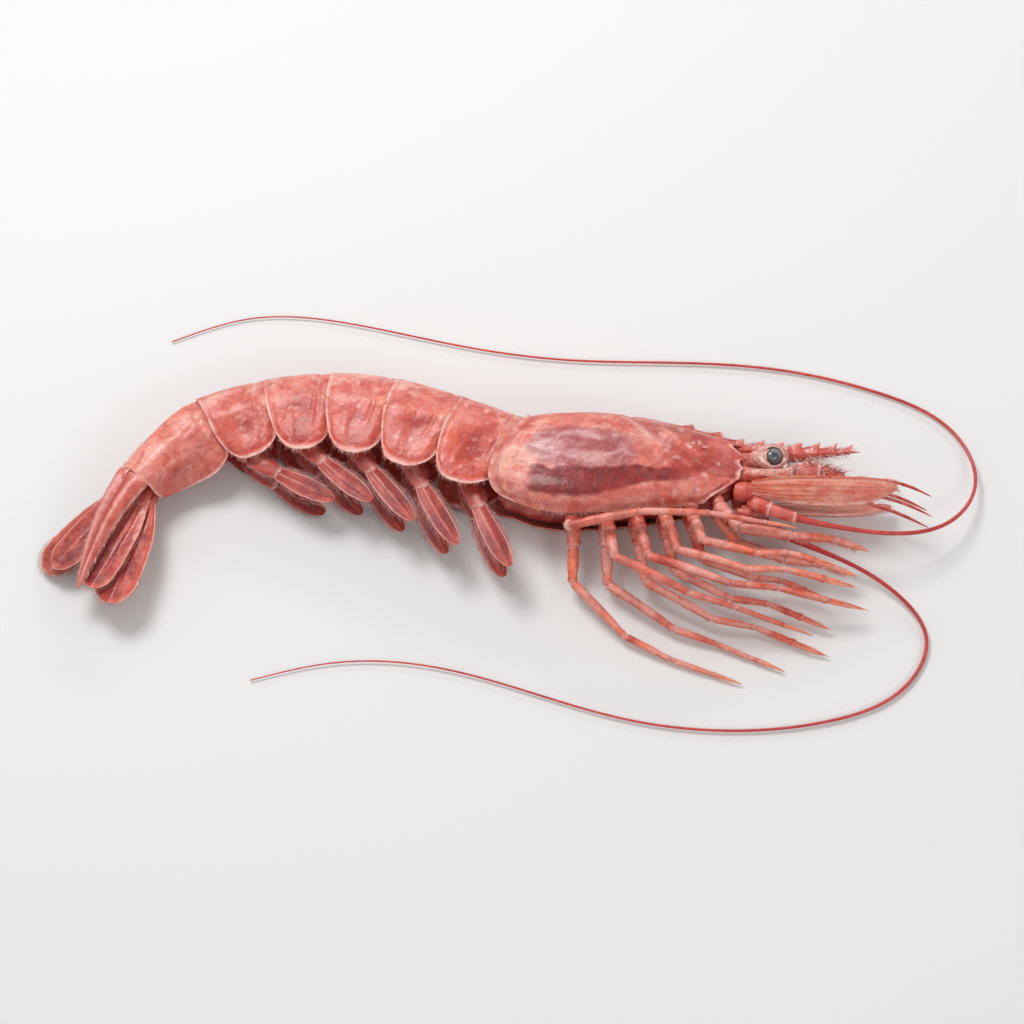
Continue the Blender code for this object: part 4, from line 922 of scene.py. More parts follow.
def eye(side, sgn):
    """A slate ball sunk in a pale almond-shaped socket at the end of a short stalk that widens towards it."""
    centre = head(7.2, 3.4, 5.6 * sgn)
    axis = unit(HF * 0.30 + HL * 0.95 * sgn - HD * 0.16)
    a1 = unit(HF + HD * 0.18 - axis * np.dot(HF + HD * 0.18, axis))
    a2 = np.cross(a1, axis)
    a2 = a2 * np.sign(np.dot(a2, HD))
    nu, nv = 46, 60
    th = np.linspace(0.0, math.pi, nu)[:, None] * np.ones((1, nv))
    ph = np.linspace(0, 2 * math.pi, nv, endpoint=False)[None, :] * np.ones((nu, 1))
    middle = centre - axis * 0.30
    p = (middle + axis * (1.95 * np.cos(th))[..., None] + a1 * (2.2 * np.sin(th) * np.cos(ph))[..., None]
         + a2 * (1.98 * np.sin(th) * np.sin(ph))[..., None])
    p = p + unit(p - middle + 1e-9) * (0.05 * fbm(p, 1.5, 3, 12) + 0.010 * value_noise(p, 0.22, 17))[..., None]
    black = rgb(24, 25, 28)
    c = mix(rgb(52, 58, 62), rgb(92, 100, 104), smooth(0.5 + 2.2 * fbm(p, 1.8, 3, 13)))
    c = mix(c, rgb(150, 154, 152), 0.55 * smooth(2.6 * fbm(p, 1.3, 3, 14)) * hump(th, 0.55, 0.40))
    c = mix(c, black, 0.75 * np.exp(-((np.hypot(np.sin(th) * np.cos(ph) + 0.18, np.sin(th) * np.sin(ph) - 0.10) / 0.34) ** 2)) * (th < 1.5))
    c = mix(c, black, 0.85 * smooth((th - 0.92) / 0.25))
    b = Build()
    loft(b, p, c)
    b.make(f"eyeball_{side}", EYE, [f"eye_{side}"])
    b = Build()
    # socket: a lip round the ball, drawn out to a point behind, with a second fold in front
    table = [(1.70, -0.55), (1.96, -0.02), (2.10, 0.32), (2.32, 0.50), (2.58, 0.42), (2.80, 0.14), (2.98, -0.05), (3.12, -0.35),
             (3.16, -0.85), (3.00, -1.45), (2.45, -1.95), (1.50, -2.25), (0.50, -2.35)]
    k = np.linspace(0, 1, len(table))
    m = 58
    w = np.linspace(0, 1, m)[:, None] * np.ones((1, 76))
    g = np.linspace(0, 2 * math.pi, 76, endpoint=False)[None, :] * np.ones((m, 1))
    rho = curve_through(list(zip(k, [q[0] for q in table])))(w)
    high = curve_through(list(zip(k, [q[1] for q in table])))(w)
    outer = smooth((rho - 2.15) / 0.6) * (w > 0.2) + (w > 0.62) * 0
    along = 1.12 + outer * (0.42 * np.clip(-np.cos(g), 0, 1) ** 2.2 + 0.10 * np.clip(np.cos(g), 0, 1) ** 2)
    across = 1.0 - 0.03 * outer
    high = high + 0.34 * hump(rho, 2.98, 0.22) * (w < 0.7) * smooth((np.cos(g - 0.5) + 0.1) / 0.5) + 0.05 * np.cos(17 * g + 2 * np.sin(3 * g)) * outer
    P = (centre + axis * high[..., None] + a1 * (rho * along * np.cos(g))[..., None] + a2 * (rho * across * np.sin(g))[..., None])
    P = P + axis * (0.13 * fbm(P, 1.3, 3, 18) + 0.04 * value_noise(P, 0.4, 19))[..., None]
    cc = mix(rgb(222, 172, 160), rgb(196, 128, 116), 0.5 + 1.2 * fbm(P, 1.6, 3, 20))
    cc = mix(cc, WHITE, 0.85 * hump(w, 0.27, 0.07) * smooth(0.6 + 1.8 * fbm(P, 1.0, 3, 21)))
    cc = mix(cc, rgb(206, 200, 198), 0.80 * hump(w, 0.51, 0.06) * smooth((np.cos(g - 0.5) + 0.1) / 0.5))
    cc = mix(cc, rgb(150, 74, 66), 0.65 * hump(w, 0.40, 0.045) * smooth((np.cos(g - 0.4) + 0.2) / 0.5))
    cc = mix(cc, CORAL, 0.65 * smooth((w - 0.66) / 0.2))
    # painted shade: dark red-brown on the inner lip where the socket meets the ball
    cc = mix(cc, rgb(70, 30, 30), 0.70 * smooth((0.10 - w) / 0.06))
    loft(b, P, cc)
    # stalk
    root, bend_ = head(-1.4, 2.6, 1.2 * sgn), head(2.4, 3.0, 3.6 * sgn)
    t = np.linspace(0, 1, 44)
    end = centre - axis * 1.25 - a1 * 0.2
    path = np.outer((1 - t) ** 2, root) + np.outer(2 * t * (1 - t), bend_) + np.outer(t * t, end)
    rad = 1.30 + 0.5 * smooth(t / 0.35) - 0.22 * hump(t, 0.46, 0.10) + 0.55 * smooth((t - 0.5) / 0.4)
    col = mix(RED, SALMON, 0.3 + 0.7 * smooth(t / 0.35))
    col = mix(col, PALE, 0.75 * smooth((t - 0.35) / 0.3))
    col = mix(col, RED, 0.40 * hump(t, 0.46, 0.06))
    tube(b, path, rad, col, 52, flat=1.08, ref=a1, relief=lambda q: 0.16 * fbm(q, 1.9, 3, 15) + 0.04 * value_noise(q, 0.5, 16))
    b.make(f"stalk_{side}", SOFT, [f"eyestalk_{side}"])


def leaf(b, start, toward, flat, length, widths, thick, colour_fn, camber=0.5, nu=70, nv=33, rib=None, relief=0.05, seed=0,
         outer=None, face=1.0, tear=0.0, blunt=0.0, round_tip=False):
    """A thin blade with ribs. widths are half-widths; outer, if given, are the half-widths on its +flat side."""
    toward, flat = unit(toward), unit(flat)
    up = unit(np.cross(toward, flat))
    flat = np.cross(up, toward)
    u = np.linspace(0, 1, nu)
    if round_tip:
        u = np.where(u > 0.7, 0.7 + 0.3 * np.sin((u - 0.7) / 0.3 * math.pi / 2), u)
    u = u[:, None] * np.ones((1, nv))
    v = np.linspace(-1, 1, nv)[None, :] * np.ones((nu, 1))
    k = np.linspace(0, 1, len(widths))
    w_in = np.maximum(curve_through(list(zip(k, widths)))(u), 0.12)
    w_out = w_in if outer is None else np.maximum(curve_through(list(zip(np.linspace(0, 1, len(outer)), outer)))(u), 0.12)
    w = np.where(v > 0, w_out, w_in)
    if round_tip:
        w = w * np.sqrt(np.clip(1 - np.clip((u - 0.80) / 0.20, 0, 1) ** 2.2, 0.0004, 1))
    else:
        w = w * np.where(u > 0.72, np.sqrt(np.clip(1 - (np.clip((u - 0.72) / 0.28, 0, 1) * np.where(v * blunt > 0, 0.72, 0.97)) ** 2.6, 0.02, 1)), 1)
    h = camber * (1 - v**2) * smooth(u / 0.15) * (1 - 0.5 * u)
    if rib is not None:
        for v0, hgt, wid in rib:
            h = h + hgt * hump(v, v0 * (1 - 0.5 * u) if abs(v0) < 0.9 else v0, wid) * (1 - 0.7 * u)
    h = h * face
    ragged = tear * fbm(np.stack([u * 40, np.sign(v) * 5 + 0 * u, 0 * u], -1), 2.5, 3, seed + 9) * np.abs(v) ** 4
    p = start + toward * (length * u)[..., None] + flat * (w * v * (1 + ragged / np.maximum(w, 0.8)))[..., None] + up * h[..., None]
    p = p + up * (relief * fbm(p, 1.8, 3, seed))[..., None] + up * (relief * 2.4 * fbm(p, 7.0, 2, seed + 3))[..., None]
    c = colour_fn(u, v, p)
    t = thick * (1 - 0.45 * np.abs(v) ** 3) * (1 - 0.4 * u)
    q = p + up * (t / 2)[..., None]
    n = normals(q)
    facing = np.sign(np.mean(np.sum(n * up, -1)))
    # painted shade: the other face of the blade is a slightly darker copy of this colour
    shell(b, q, t, c, c * 0.92, flip=facing < 0)
    return u, v, p, up, flat, toward


def scale_and_base(side, sgn):
    out = HL * sgn
    # base article
    b = Build()
    base = head(-0.6, -4.9, 2.65 * sgn)
    t = np.linspace(0, 1, 34)
    path = base + np.outer(t, HF * 7.0 + out * 0.35 + HD * 0.1)
    rad = 2.05 + 0.34 * np.sin(math.pi * t) - 0.18 * hump(t, 0.42, 0.04) - 0.45 * smooth((t - 0.82) / 0.18)
    col = mix(CORAL, SALMON, 0.5 + 0.3 * np.sin(7 * t))
    col = mix(col, ORANGE, 0.7 * hump(t, 0.85, 0.15))
    col = mix(col, RED, 0.5 * hump(t, 0.42, 0.05))
    col = mix(col, RIM, 0.7 * hump(t, 1.0, 0.08))
    tube(b, path, rad, col, 40, relief=lambda q: 0.16 * fbm(q, 2.2, 3, 44) + 0.05 * value_noise(q, 0.6, 45))
    spine(b, head(5.0, -6.2, 3.4 * sgn), HF + out * 0.22 - HD * 0.15, 2.6, 0.5, ORANGE, WHITE)
    spine(b, head(5.2, -3.9, 4.0 * sgn), HF + out * 0.3, 1.6, 0.38, ORANGE, WHITE)
    rng = np.random.default_rng(46)
    ang = rng.uniform(0, 2 * math.pi, 90)
    ring = head(5.8, -4.9, 2.85 * sgn) + np.outer(np.cos(ang), HD) * 1.85 + np.outer(np.sin(ang), HL) * 1.85
    hairs(b, ring, HF * 1.0 + unit(ring - head(5.8, -4.9, 2.85 * sgn)) * 0.35, rng.uniform(0.4, 1.1, 90), 0.045, RIM)
    # short neck that carries the scale
    q = np.linspace(0, 1, 18)
    neck = np.outer(1 - q, head(2.4, -4.9, 3.9 * sgn)) + np.outer(q, head(5.0, -4.9, 5.4 * sgn))
    tube(b, neck, 1.35 + 0.25 * np.sin(math.pi * q) - 0.3 * q, mix(CORAL, SALMON, 0.3 + 0.5 * q), 22, flat=0.75, ref=unit(out * 0.74 - HD * 0.67),
         relief=lambda g: 0.08 * fbm(g, 1.4, 3, 47))
    b.make(f"base_{side}", LIMB, [f"antennal_base_{side}"])
    # the scale
    b = Build()
    start = head(3.0, -4.9, 6.3 * sgn)

    def colour(u, v, p):
        streak = fbm(p * np.array([0.22, 1.0, 1.0]), 0.9, 3, 51)
        c = mix(rgb(224, 116, 90), rgb(238, 160, 132), 0.40 + 1.3 * fbm(p, 4.0, 3, 50))
        c = mix(c, rgb(208, 84, 64), 0.50 * smooth(0.05 + 2.4 * streak))
        c = mix(c, CORAL, 0.40 * smooth(-0.30 + 2.6 * fbm(p * np.array([0.22, 1.0, 1.0]), 0.6, 3, 54)))
        c = mix(c, PALE, 0.60 * smooth(-0.15 - 2.6 * streak))
        c = mix(c, MAUVE, 0.14 * hump(v, -0.30, 0.35) * smooth(0.4 + 2 * fbm(p, 6.0, 2, 53)))
        c = mix(c, PALE, 0.80 * hump(v, 0.66, 0.10))
        c = mix(c, ORANGE, 0.92 * smooth((v - 0.78) / 0.12))
        c = mix(c, CREAM, 0.60 * hump(v, 0.93, 0.05) * smooth(0.6 + 2 * streak))
        c = mix(c, PALE, 0.60 * smooth((-v - 0.60) / 0.25) * smooth(0.6 + 2 * streak))
        c = mix(c, WHITE, 0.70 * hump(v, -0.88, 0.08) * smooth(0.6 + 2 * streak))
        c = mix(c, ORANGE, 0.50 * smooth((-v - 0.95) / 0.05))
        c = mix(c, RED, 0.35 * smooth((u - 0.9) / 0.1))
        return c

    u, v, p, up, flat, toward = leaf(
        b, start, HF + HD * 0.11 - out * 0.015, out * 0.67 + HD * 0.74, 33.0, [1.7, 3.0, 3.9, 4.4, 4.5, 4.2, 3.3, 1.2], 0.42, colour,
        camber=0.5, rib=[(0.93, 0.42, 0.10), (0.42, 0.26, 0.07), (-0.12, 0.14, 0.05), (-0.45, 0.12, 0.05), (-0.72, 0.10, 0.05)], seed=52,
        outer=[1.6, 2.4, 2.8, 3.0, 3.0, 2.9, 2.7, 2.2], nu=88, nv=43, face=sgn, tear=0.25, blunt=1.0)
    spine(b, p[-8, -2], toward + flat * 0.02, 3.0, 0.36, ORANGE, WHITE)
    m = 260
    rows = rng.uniform(0.10, 1.0, m)
    k = np.clip((rows * (len(p) - 1)).astype(int), 0, len(p) - 1)
    hairs(b, p[k, 0], -flat * 1.0 + toward * (0.7 + 0.9 * rows[:, None]) + up * rng.normal(0, 0.08, (m, 1)), rng.uniform(1.0, 2.1, m) * (0.55 + 0.6 * rows),
          0.05, mix(CREAM, ORANGE, 0.45 + 0 * rows), bend=toward * 0.25, tip_colour=RIM)
    cols = rng.integers(0, p.shape[1] - 2, 26)
    hairs(b, p[-1, cols], toward + flat * (-0.9 + 1.1 * cols / p.shape[1])[:, None], rng.uniform(0.6, 1.3, 26), 0.05, mix(CREAM, ORANGE, 0.5 + 0.0 * cols), tip_colour=RIM)
    b.make(f"scale_{side}", LIMB, [f"antennal_scale_{side}"])


def antennules(side, sgn):
    out = HL * sgn
    base = head(0.9, -0.5, 2.25 * sgn)
    route = [base, base + HF * 10 - HD * 0.2, base + HF * 20 + HD * 0.9, base + HF * 30 + HD * 1.9 + out,
             base + HF * 37 + HD * 1.1 + out * 1.8, base + HF * 43 - HD * 1.1 + out * 2.0]
    line, at = spline(route, 220)
    b = Build()
    # the stout three-jointed stalk; its first joint is hollowed on top where the eye rests
    nu, nv = 116, 50
    f = np.linspace(-1.6, 24.6, nu)[:, None] * np.ones((1, nv))
    a = np.linspace(0, 2 * math.pi, nv, endpoint=False)[None, :] * np.ones((nu, 1))
    joint = np.zeros_like(f)
    for j0 in (12.2, 18.4):
        joint += 0.09 * hump(f, j0 - 0.9, 1.0) - 0.20 * hump(f, j0 + 0.35, 0.4) + 0.05 * hump(f, j0 + 1.3, 0.7)
    ends = np.sqrt(np.clip(1 - np.clip((f - 22.6) / 2.0, 0, 1) ** 2, 0.04, 1))
    wide_out = (1.95 + 1.15 * hump(f, 7.2, 4.4) - 0.75 * smooth((f - 15) / 10)) * (1 + joint) * ends
    wide_in = (1.9 - 0.7 * smooth((f - 15) / 10)) * (1 + joint) * ends
    tall = (2.25 + 0.95 * hump(f, 15.0, 4.8) - 0.85 * smooth((f - 18) / 8)) * (1 + joint) * ends
    across = np.where(np.sin(a) > 0, wide_out, wide_in) * np.sign(np.sin(a)) * np.abs(np.sin(a)) ** 0.85
    upward = tall * np.sign(np.cos(a)) * np.abs(np.cos(a)) ** 0.85
    hollow = 1.35 * hump(f, 7.0, 4.2) * hump(across, 1.5, 1.5) * smooth(np.cos(a) * 1.6 + 0.1)
    rim_up = 0.55 * hump(f, 7.6, 4.6) * hump(a, 1.25, 0.35)
    mid = np.interp(f, [0, 0.9, 8.0, 12.5, 17.0, 21.5, 26], [-0.5, -0.5, -0.55, 0.45, 1.25, 1.2, 1.0])
    lateral = 2.25 + across
    P = (HP + HF * f[..., None] + HD * (mid + upward - hollow + rim_up)[..., None] + HL * (sgn * lateral)[..., None])
    centre = HP + HF * f[..., None] + HD * mid[..., None] + HL * (sgn * 2.25)
    rough_ = 0.10 * fbm(P, 1.8, 3, 61) + 0.045 * value_noise(P, 0.55, 62)
    frosty = smooth(fbm(P, 1.1, 3, 64) * 3.0 - 0.35) * smooth(np.cos(a - 0.35) * 2.0 - 0.6) * smooth((f - 9) / 4)
    P = P + unit(P - centre) * (rough_ + 0.30 * frosty)[..., None]
    c = mix(CORAL, RED, 0.35 + 0.8 * fbm(P, 2.6, 3, 65))
    c = mix(c, SALMON, 0.75 * smooth(0.1 + 1.8 * fbm(P * np.array([0.5, 1, 1]), 1.8, 3, 66)))
    c = mix(c, CREAM, 0.70 * hump(f, 7.0, 5.0) * smooth(np.cos(a - 0.5) * 2.0))
    c = mix(c, WHITE, 0.65 * hump(f, 7.4, 4.8) * hump(a, 1.3, 0.22))
    for j0 in (12.2, 18.4):
        c = mix(c, WHITE, 0.65 * hump(f, j0 - 0.3, 0.35))
        c = mix(c, DEEP, 0.45 * hump(f, j0 + 0.35, 0.3))
    c = mix(c, WHITE, 0.85 * frosty)
    loft(b, P, c)
    spine(b, head(4.5, -1.2, 4.9 * sgn), HF + out * 0.02, 7.0, 0.42, SALMON, WHITE, up=HD * 0.02)
    total = at[-1]
    at2 = np.linspace(22.4, total, 150)
    path = np.stack([np.interp(at2, at, line[:, k]) for k in range(3)], -1)
    t = np.linspace(0, 1, 150)
    rings = 1 + 0.07 * np.sin(at2 * 2 * math.pi / 0.7)
    tube(b, path, (0.56 - 0.26 * t) * np.sqrt(np.clip((1.02 - t) / 0.25, 0, 1)) * rings, mix(CORAL, RED, 0.4 + 0.3 * np.sin(at2 * 2.1)), 10)
    rng = np.random.default_rng(63)
    m = 190
    k = rng.integers(10, nu - 6, m)
    jj = rng.integers(0, nv, m)
    root = P[k, jj]
    way = unit(root - centre[k, jj])
    hairs(b, root, way * 0.8 + HF * 1.3, rng.uniform(0.4, 1.3, m), 0.04, mix(RIM, ORANGE, 0.35 + 0.0 * k), bend=HF * 0.3)
    m = 120
    k = np.clip(((rng.uniform(10.6, 23.5, m) + 1.6) / 26.2 * (nu - 1)).astype(int), 0, nu - 1)
    jj = (rng.uniform(-7, 14, m)).astype(int) % nv
    lean = rng.uniform(-0.5, 1.2, (m, 1))
    hairs(b, P[k, jj], HD * 1.0 + HF * lean + out * rng.normal(0.15, 0.25, (m, 1)), rng.uniform(1.1, 2.5, m), 0.10, mix(CORAL, SALMON, rng.uniform(0, 1, m)),
          bend=HF * 0.55 - HD * 0.35, tip_colour=WHITE)
    k = rng.integers(30, nu - 6, 170)
    jj = (nv * 0.5 + rng.normal(0, 3, 170)).astype(int) % nv
    hairs(b, P[k, jj], -HD + HF * 0.9 + out * rng.normal(0, 0.3, (170, 1)), rng.uniform(0.9, 2.0, 170), 0.045, mix(RIM, ORANGE, 0.35 + 0.0 * k), bend=HF * 0.3)
    b.make(f"antennule_arm_{side}", SOFT, [f"antennule_{side}"])
    b = Build()
    low = head(24.4, -1.5, 2.15 * sgn)
    line2, at3 = spline([low - HF * 1.6 + HD * 0.7, low + HF * 8 - HD * 0.9 + out * 0.8, low + HF * 14 - HD * 2.3 + out * 1.2,
                         low + HF * 20 - HD * 4.6 + out * 1.2], 120)
    t = np.linspace(0, 1, 120)
    tube(b, line2, (0.52 - 0.2 * t) * np.sqrt(np.clip((1.02 - t) / 0.25, 0, 1)) * (1 + 0.07 * np.sin(at3 * 2 * math.pi / 0.7)), mix(CORAL, RED, 0.35 + 0.3 * np.sin(at3 * 2.3)), 10)
    b.make(f"antennule_thread_{side}", SOFT, [f"antennule_lower_{side}"])


def antenna(side):
    route = FEELERS[side]
    n = 860
    line, at = spline(route, n)
    knots = np.concatenate([[0], np.cumsum([np.linalg.norm(np.subtract(b_, a_)) for a_, b_ in zip(route, route[1:])])])
    radii = [1.7, 1.25] + [0.85 - 0.5 * i / (len(route) - 3) for i in range(len(route) - 2)]
    cad = curve_through(list(zip(knots, radii)))(at)
    total = at[-1]
    b = Build()
    # two stout articles, then the whip
    for a0, a1, r0, r1 in ((-1.2, 3.4, 1.62, 1.66), (3.0, 9.4, 1.5, 1.25)):
        t = np.linspace(0, 1, 22)
        q = a0 + (a1 - a0) * t
        start = line[0] + (line[0] - line[1]) / np.linalg.norm(line[0] - line[1]) * np.maximum(-q, 0)[:, None]
        path = np.where((q < 0)[:, None], start, np.stack([np.interp(q, at, line[:, k]) for k in range(3)], -1))
        rad = (r0 + (r1 - r0) * t) * (1 + 0.10 * hump(t, 1.0, 0.12) - 0.15 * hump(t, 0, 0.08))
        col = mix(CORAL, SALMON, 0.5 + 0.4 * np.sin(7 * t))
        col = mix(col, RIM, 0.7 * hump(t, 1.0, 0.07))
        tube(b, path, rad, col, 26, relief=lambda g: 0.06 * fbm(g, 1.6, 3, 66))
    keep = at > 8.6
    line, at, cad = line[keep], at[keep], cad[keep]
    k = (at - at[0]) / (total - at[0])
    rad = np.minimum(cad * 0.98, 1.05) * (1 - 0.30 * k) * (1 - 0.34 * (1 - np.exp(-k * 30)))
    rings = 1 + 0.055 * np.sin(at * 2 * math.pi / 0.85)
    p_noise = fbm(line, 9.0, 3, 67)
    col = mix(rgb(206, 50, 44), rgb(176, 34, 34), 0.5 + p_noise)
    col = mix(col, ORANGE, 0.35 * smooth(fbm(line, 21, 2, 68) * 2))
    col = mix(col, CORAL, 0.25 + 0.25 * np.sin(at * 2 * math.pi / 0.85))
    line = line.copy()
    line[:, 2] = np.maximum(line[:, 2], rad * 1.05)
    tube(b, line, rad * rings, col, 8)
    b.make(f"whip_{side}", FEELER, [f"antenna_{side}"])


def mouth():
    b = Build()
    rng = np.random.default_rng(77)
    for side, sgn in SIDES:
        for j, (f0, d0, l0, ln, dr, r) in enumerate(((1.4, -8.6, 1.3, 6.6, (1.0, 0.28, -0.05), 0.95), (0.4, -9.6, 2.2, 7.2, (1.0, 0.12, 0.05), 0.95),
                                                     (2.6, -7.6, 2.7, 5.2, (1.0, 0.0, 0.25), 0.9), (3.2, -7.9, 0.9, 4.6, (1.0, 0.45, -0.1), 0.8))):
            t = np.linspace(0, 1, 20)
            way = HF * dr[0] + HD * dr[1] + HL * dr[2] * sgn
            path = head(f0, d0, l0 * sgn) + np.outer(t * ln, way) + np.outer(np.sin(t * 2.2) * 0.5, -HD)
            rad = r * (0.7 + 0.55 * np.sin(math.pi * np.clip(t * 0.9 + 0.08, 0, 1))) * (1 - 0.55 * t**3)
            col = mix(CORAL, SALMON, 0.4 + 0.4 * np.sin(5 * t + j))
            col = mix(col, PALE, 0.45 * hump(t, 0.7, 0.16))
            col = mix(col, RED, 0.5 * hump(t, 0.45, 0.09) + 0.3 * (t < 0.3))
            tube(b, path, rad, col, 18, flat=0.7, relief=lambda g: 0.09 * fbm(g, 1.2, 3, 78))
            m = 34
            k = rng.integers(6, 20, m)
            k = np.minimum(k, 19)
            way_out = rng.normal(0, 1, (m, 3))
            way_out = unit(way_out - np.outer(way_out @ unit(way), unit(way)))
            hairs(b, path[k] + way_out * rad[k][:, None] * 0.8, way_out + unit(way) * 1.2, rng.uniform(0.5, 1.2, m), 0.045, mix(RIM, ORANGE, 0.3 + 0.0 * k))
    b.make("mouth", SOFT, ["mouthparts"])


# ------------------------------------------------------------------ limbs
def article(b, p0, p1, r0, r1, tone, sides=18, n=26, flat=1.0, ref=None, curve=None, seed=0, warm=0.45, cuff=0.55):
    """One joint of a limb: slightly bowed, waisted where it starts and flared round the next joint."""
    t = np.linspace(0, 1, n)
    span = np.linalg.norm(np.subtract(p1, p0))
    path = np.outer(1 - t, p0) + np.outer(t, p1)
    if curve is not None:
        path = path + np.outer(np.sin(math.pi * t), curve)
    near0, near1 = t * span, (1 - t) * span
    rad = (r0 + (r1 - r0) * t) * (1 + 0.11 * hump(near1, 0.5, 0.8) - 0.14 * np.exp(-((near0 / 0.55) ** 2)) + 0.07 * np.sin(math.pi * t) ** 2
                                  - 0.10 * hump(near1, 2.0, 0.9))
    rad = rad * (1 + 0.05 * fbm(path, 3.5, 2, 300 + seed))
    ends = np.minimum(np.minimum(near0, near1) / (0.8 * r1) + 0.45, 1) ** 0.5
    cloud = fbm(path, 5.0, 3, 310 + seed)
    col = mix(np.broadcast_to(tone, (n, 3)), PALE, 0.16 + 0.9 * cloud)
    col = mix(col, RED, 0.45 * smooth(0.1 + 2.2 * fbm(path, 3.0, 2, 320 + seed)))
    col = mix(col, rgb(226, 92, 52), warm * hump(near1, 1.7, 0.9))
    col = mix(col, RED, 0.40 * hump(near1, 0.9, 0.35))
    col = mix(col, WHITE, 0.8 * cuff * np.exp(-((near1 / 0.45) ** 2)))
    col = mix(col, RIM, 0.5 * np.exp(-((near0 / 0.5) ** 2)))
    tube(b, path, rad * ends, col, sides, flat=flat, ref=ref, painted_highlight_and_tones=0.75,
         relief=lambda g: 0.07 * fbm(g, 1.3, 3, 90 + seed) + 0.025 * value_noise(g, 0.4, 91))
    return path, rad


def limb(name):
    s0, route = LIMBS[name]
    kind = name.split("_")[0]
    radii = LIMB_RADII[kind]
    right = name.endswith("right")
    sgn = 1.0 if right else -1.0
    s0 = np.array(s0)
    root = body(s0, np.array(2.3 * sgn), -0.9 * c_depth(s0) - 1.0)
    inner = body(s0, np.array(2.9 * sgn), -0.78 * c_depth(s0))
    pts = [root] + [np.array(q, float) for q in route]
    number = 0 if kind == "maxilliped" else int(name.split("_")[1])
    seed = number * 2 + (1 if right else 0)
    rng = np.random.default_rng(700 + seed)
    tone = mix(rgb(238, 124, 88), rgb(206, 72, 52), np.array(0.06 + 0.17 * ((seed * 7) % 5)))
    if number in (5, 4) and right:
        tone = mix(tone, RED, np.array(0.10))
    b = Build()
    # coxa and basis, stout
    a, c = pts[0], pts[1]
    q1 = a + (c - a) * (0.40 if kind == "leg" else 0.64)
    stout = (1.60, 1.30) if kind == "leg" else (1.12, 1.06)
    article(b, inner, a + (c - a) * 0.10, radii[0] * stout[0], radii[0] * stout[1], mix(tone, RED, np.array(0.2)), seed=seed, sides=26, n=22, cuff=0.15, warm=0.2,
            flat=0.82, ref=HT)
    article(b, a + (c - a) * 0.03, q1, radii[0] * 1.16, radii[0] * 0.98, tone, seed=seed + 1, n=20, cuff=0.2)
    chain = [q1] + pts[1:]
    for k in range(3):
        p0, p1 = chain[k], chain[k + 1]
        way = unit(p1 - p0)
        r0, r1 = radii[min(k, 4)] * (0.92 if k == 0 else 0.95), radii[k + 1] * 0.95
        bow = np.array([0, 0, 1.0]) - way * way[2]
        sag = unit(bow) * (0.30 if k == 1 else 0.12) * np.linalg.norm(p1 - p0) / 12
        path, rad = article(b, p0, p1 + way * r1 * 0.15, r0, r1, tone, curve=sag, seed=seed + 2 + k, n=max(24, int(np.linalg.norm(p1 - p0) * 2.2)),
                            flat=1.12, ref=np.array([0, 0, 1.0]))
        m = 34 if kind == "leg" else 120
        pick = rng.integers(2, len(path) - 2, m)
        w = rng.normal(0, 1, (m, 3))
        w = unit(w - np.outer(w @ way, way) + np.array([0, -0.5, 0]))
        hairs(b, path[pick] + w * rad[pick][:, None] * 0.9, w + way * 1.1, rng.uniform(0.4, 1.0 if kind == "leg" else 1.9, m), 0.04,
              mix(CREAM, ORANGE, 0.35 + 0.0 * pick), tip_colour=RIM)
    p0, p1 = chain[3], chain[4]
    way = unit(p1 - p0)
    if kind == "leg" and number <= 3:
        palm = p0 + (p1 - p0) * 0.56
        article(b, p0, palm, radii[3] * 0.92, radii[3] * 1.16, tone, seed=seed + 6, flat=1.2, n=26, cuff=0.2)
        side = unit(np.cross(way, np.array([0.2, 0.3, 1.0])))
        for k in (1, -1):
            t = np.linspace(0, 1, 24)
            path = (palm + np.outer(t, p1 - palm) + np.outer(np.sin(math.pi * (0.15 + 0.85 * t)) * 0.36 + 0.10, side * k)
                    - np.outer(t**2 * 0.20, side * k))
            rad = (0.52 - 0.40 * t**1.3) * (radii[3] / 0.9)
            col = mix(np.broadcast_to(tone, (24, 3)), CREAM, 0.25 + 0.4 * t)
            col = mix(col, ORANGE, 0.5 * hump(t, 0.8, 0.1))
            col = mix(col, WHITE, 0.7 * smooth((t - 0.88) / 0.12))
            tube(b, path, rad, col, 14)
            m = 20
            pick = rng.integers(6, 24, m)
            hairs(b, path[pick], side * k + way * 1.4 + rng.normal(0, 0.4, (m, 3)), rng.uniform(0.3, 0.8, m), 0.04, CREAM, tip_colour=RIM)
    else:
        cut = 0.66 if kind == "leg" else 0.62
        palm = p0 + (p1 - p0) * cut
        path, rad = article(b, p0, palm, radii[3] * 0.92, radii[3] * 0.76, tone, seed=seed + 6, n=30)
        t = np.linspace(0, 1, 24)
        tip = palm + np.outer(t, p1 - palm) + np.outer(np.sin(math.pi * t) * 0.25, np.array([0, 0, 1.0]))
        rad2 = radii[3] * 0.68 * (1 - t) ** 0.75 + 0.09
        col = mix(np.broadcast_to(tone, (24, 3)), CREAM, 0.3 + 0.4 * t)
        col = mix(col, ORANGE, 0.6 * smooth((t - 0.7) / 0.3))
        tube(b, tip, rad2, col, 14)
        m = 24 if kind == "leg" else 150
        pick = rng.integers(1, len(path) - 1, m)
        w = rng.normal(0, 1, (m, 3))
        w = unit(w - np.outer(w @ way, way) + np.array([0, -0.5, 0]))
        hairs(b, path[pick] + w * rad[pick][:, None] * 0.9, w + way * 1.2, rng.uniform(0.4, 0.9 if kind == "leg" else 1.8, m), 0.04,
              mix(CREAM, ORANGE, 0.35 + 0.0 * pick), tip_colour=RIM)
    return b.make(f"walking_{name}" if kind == "leg" else f"foot_{name}", LIMB, [name])


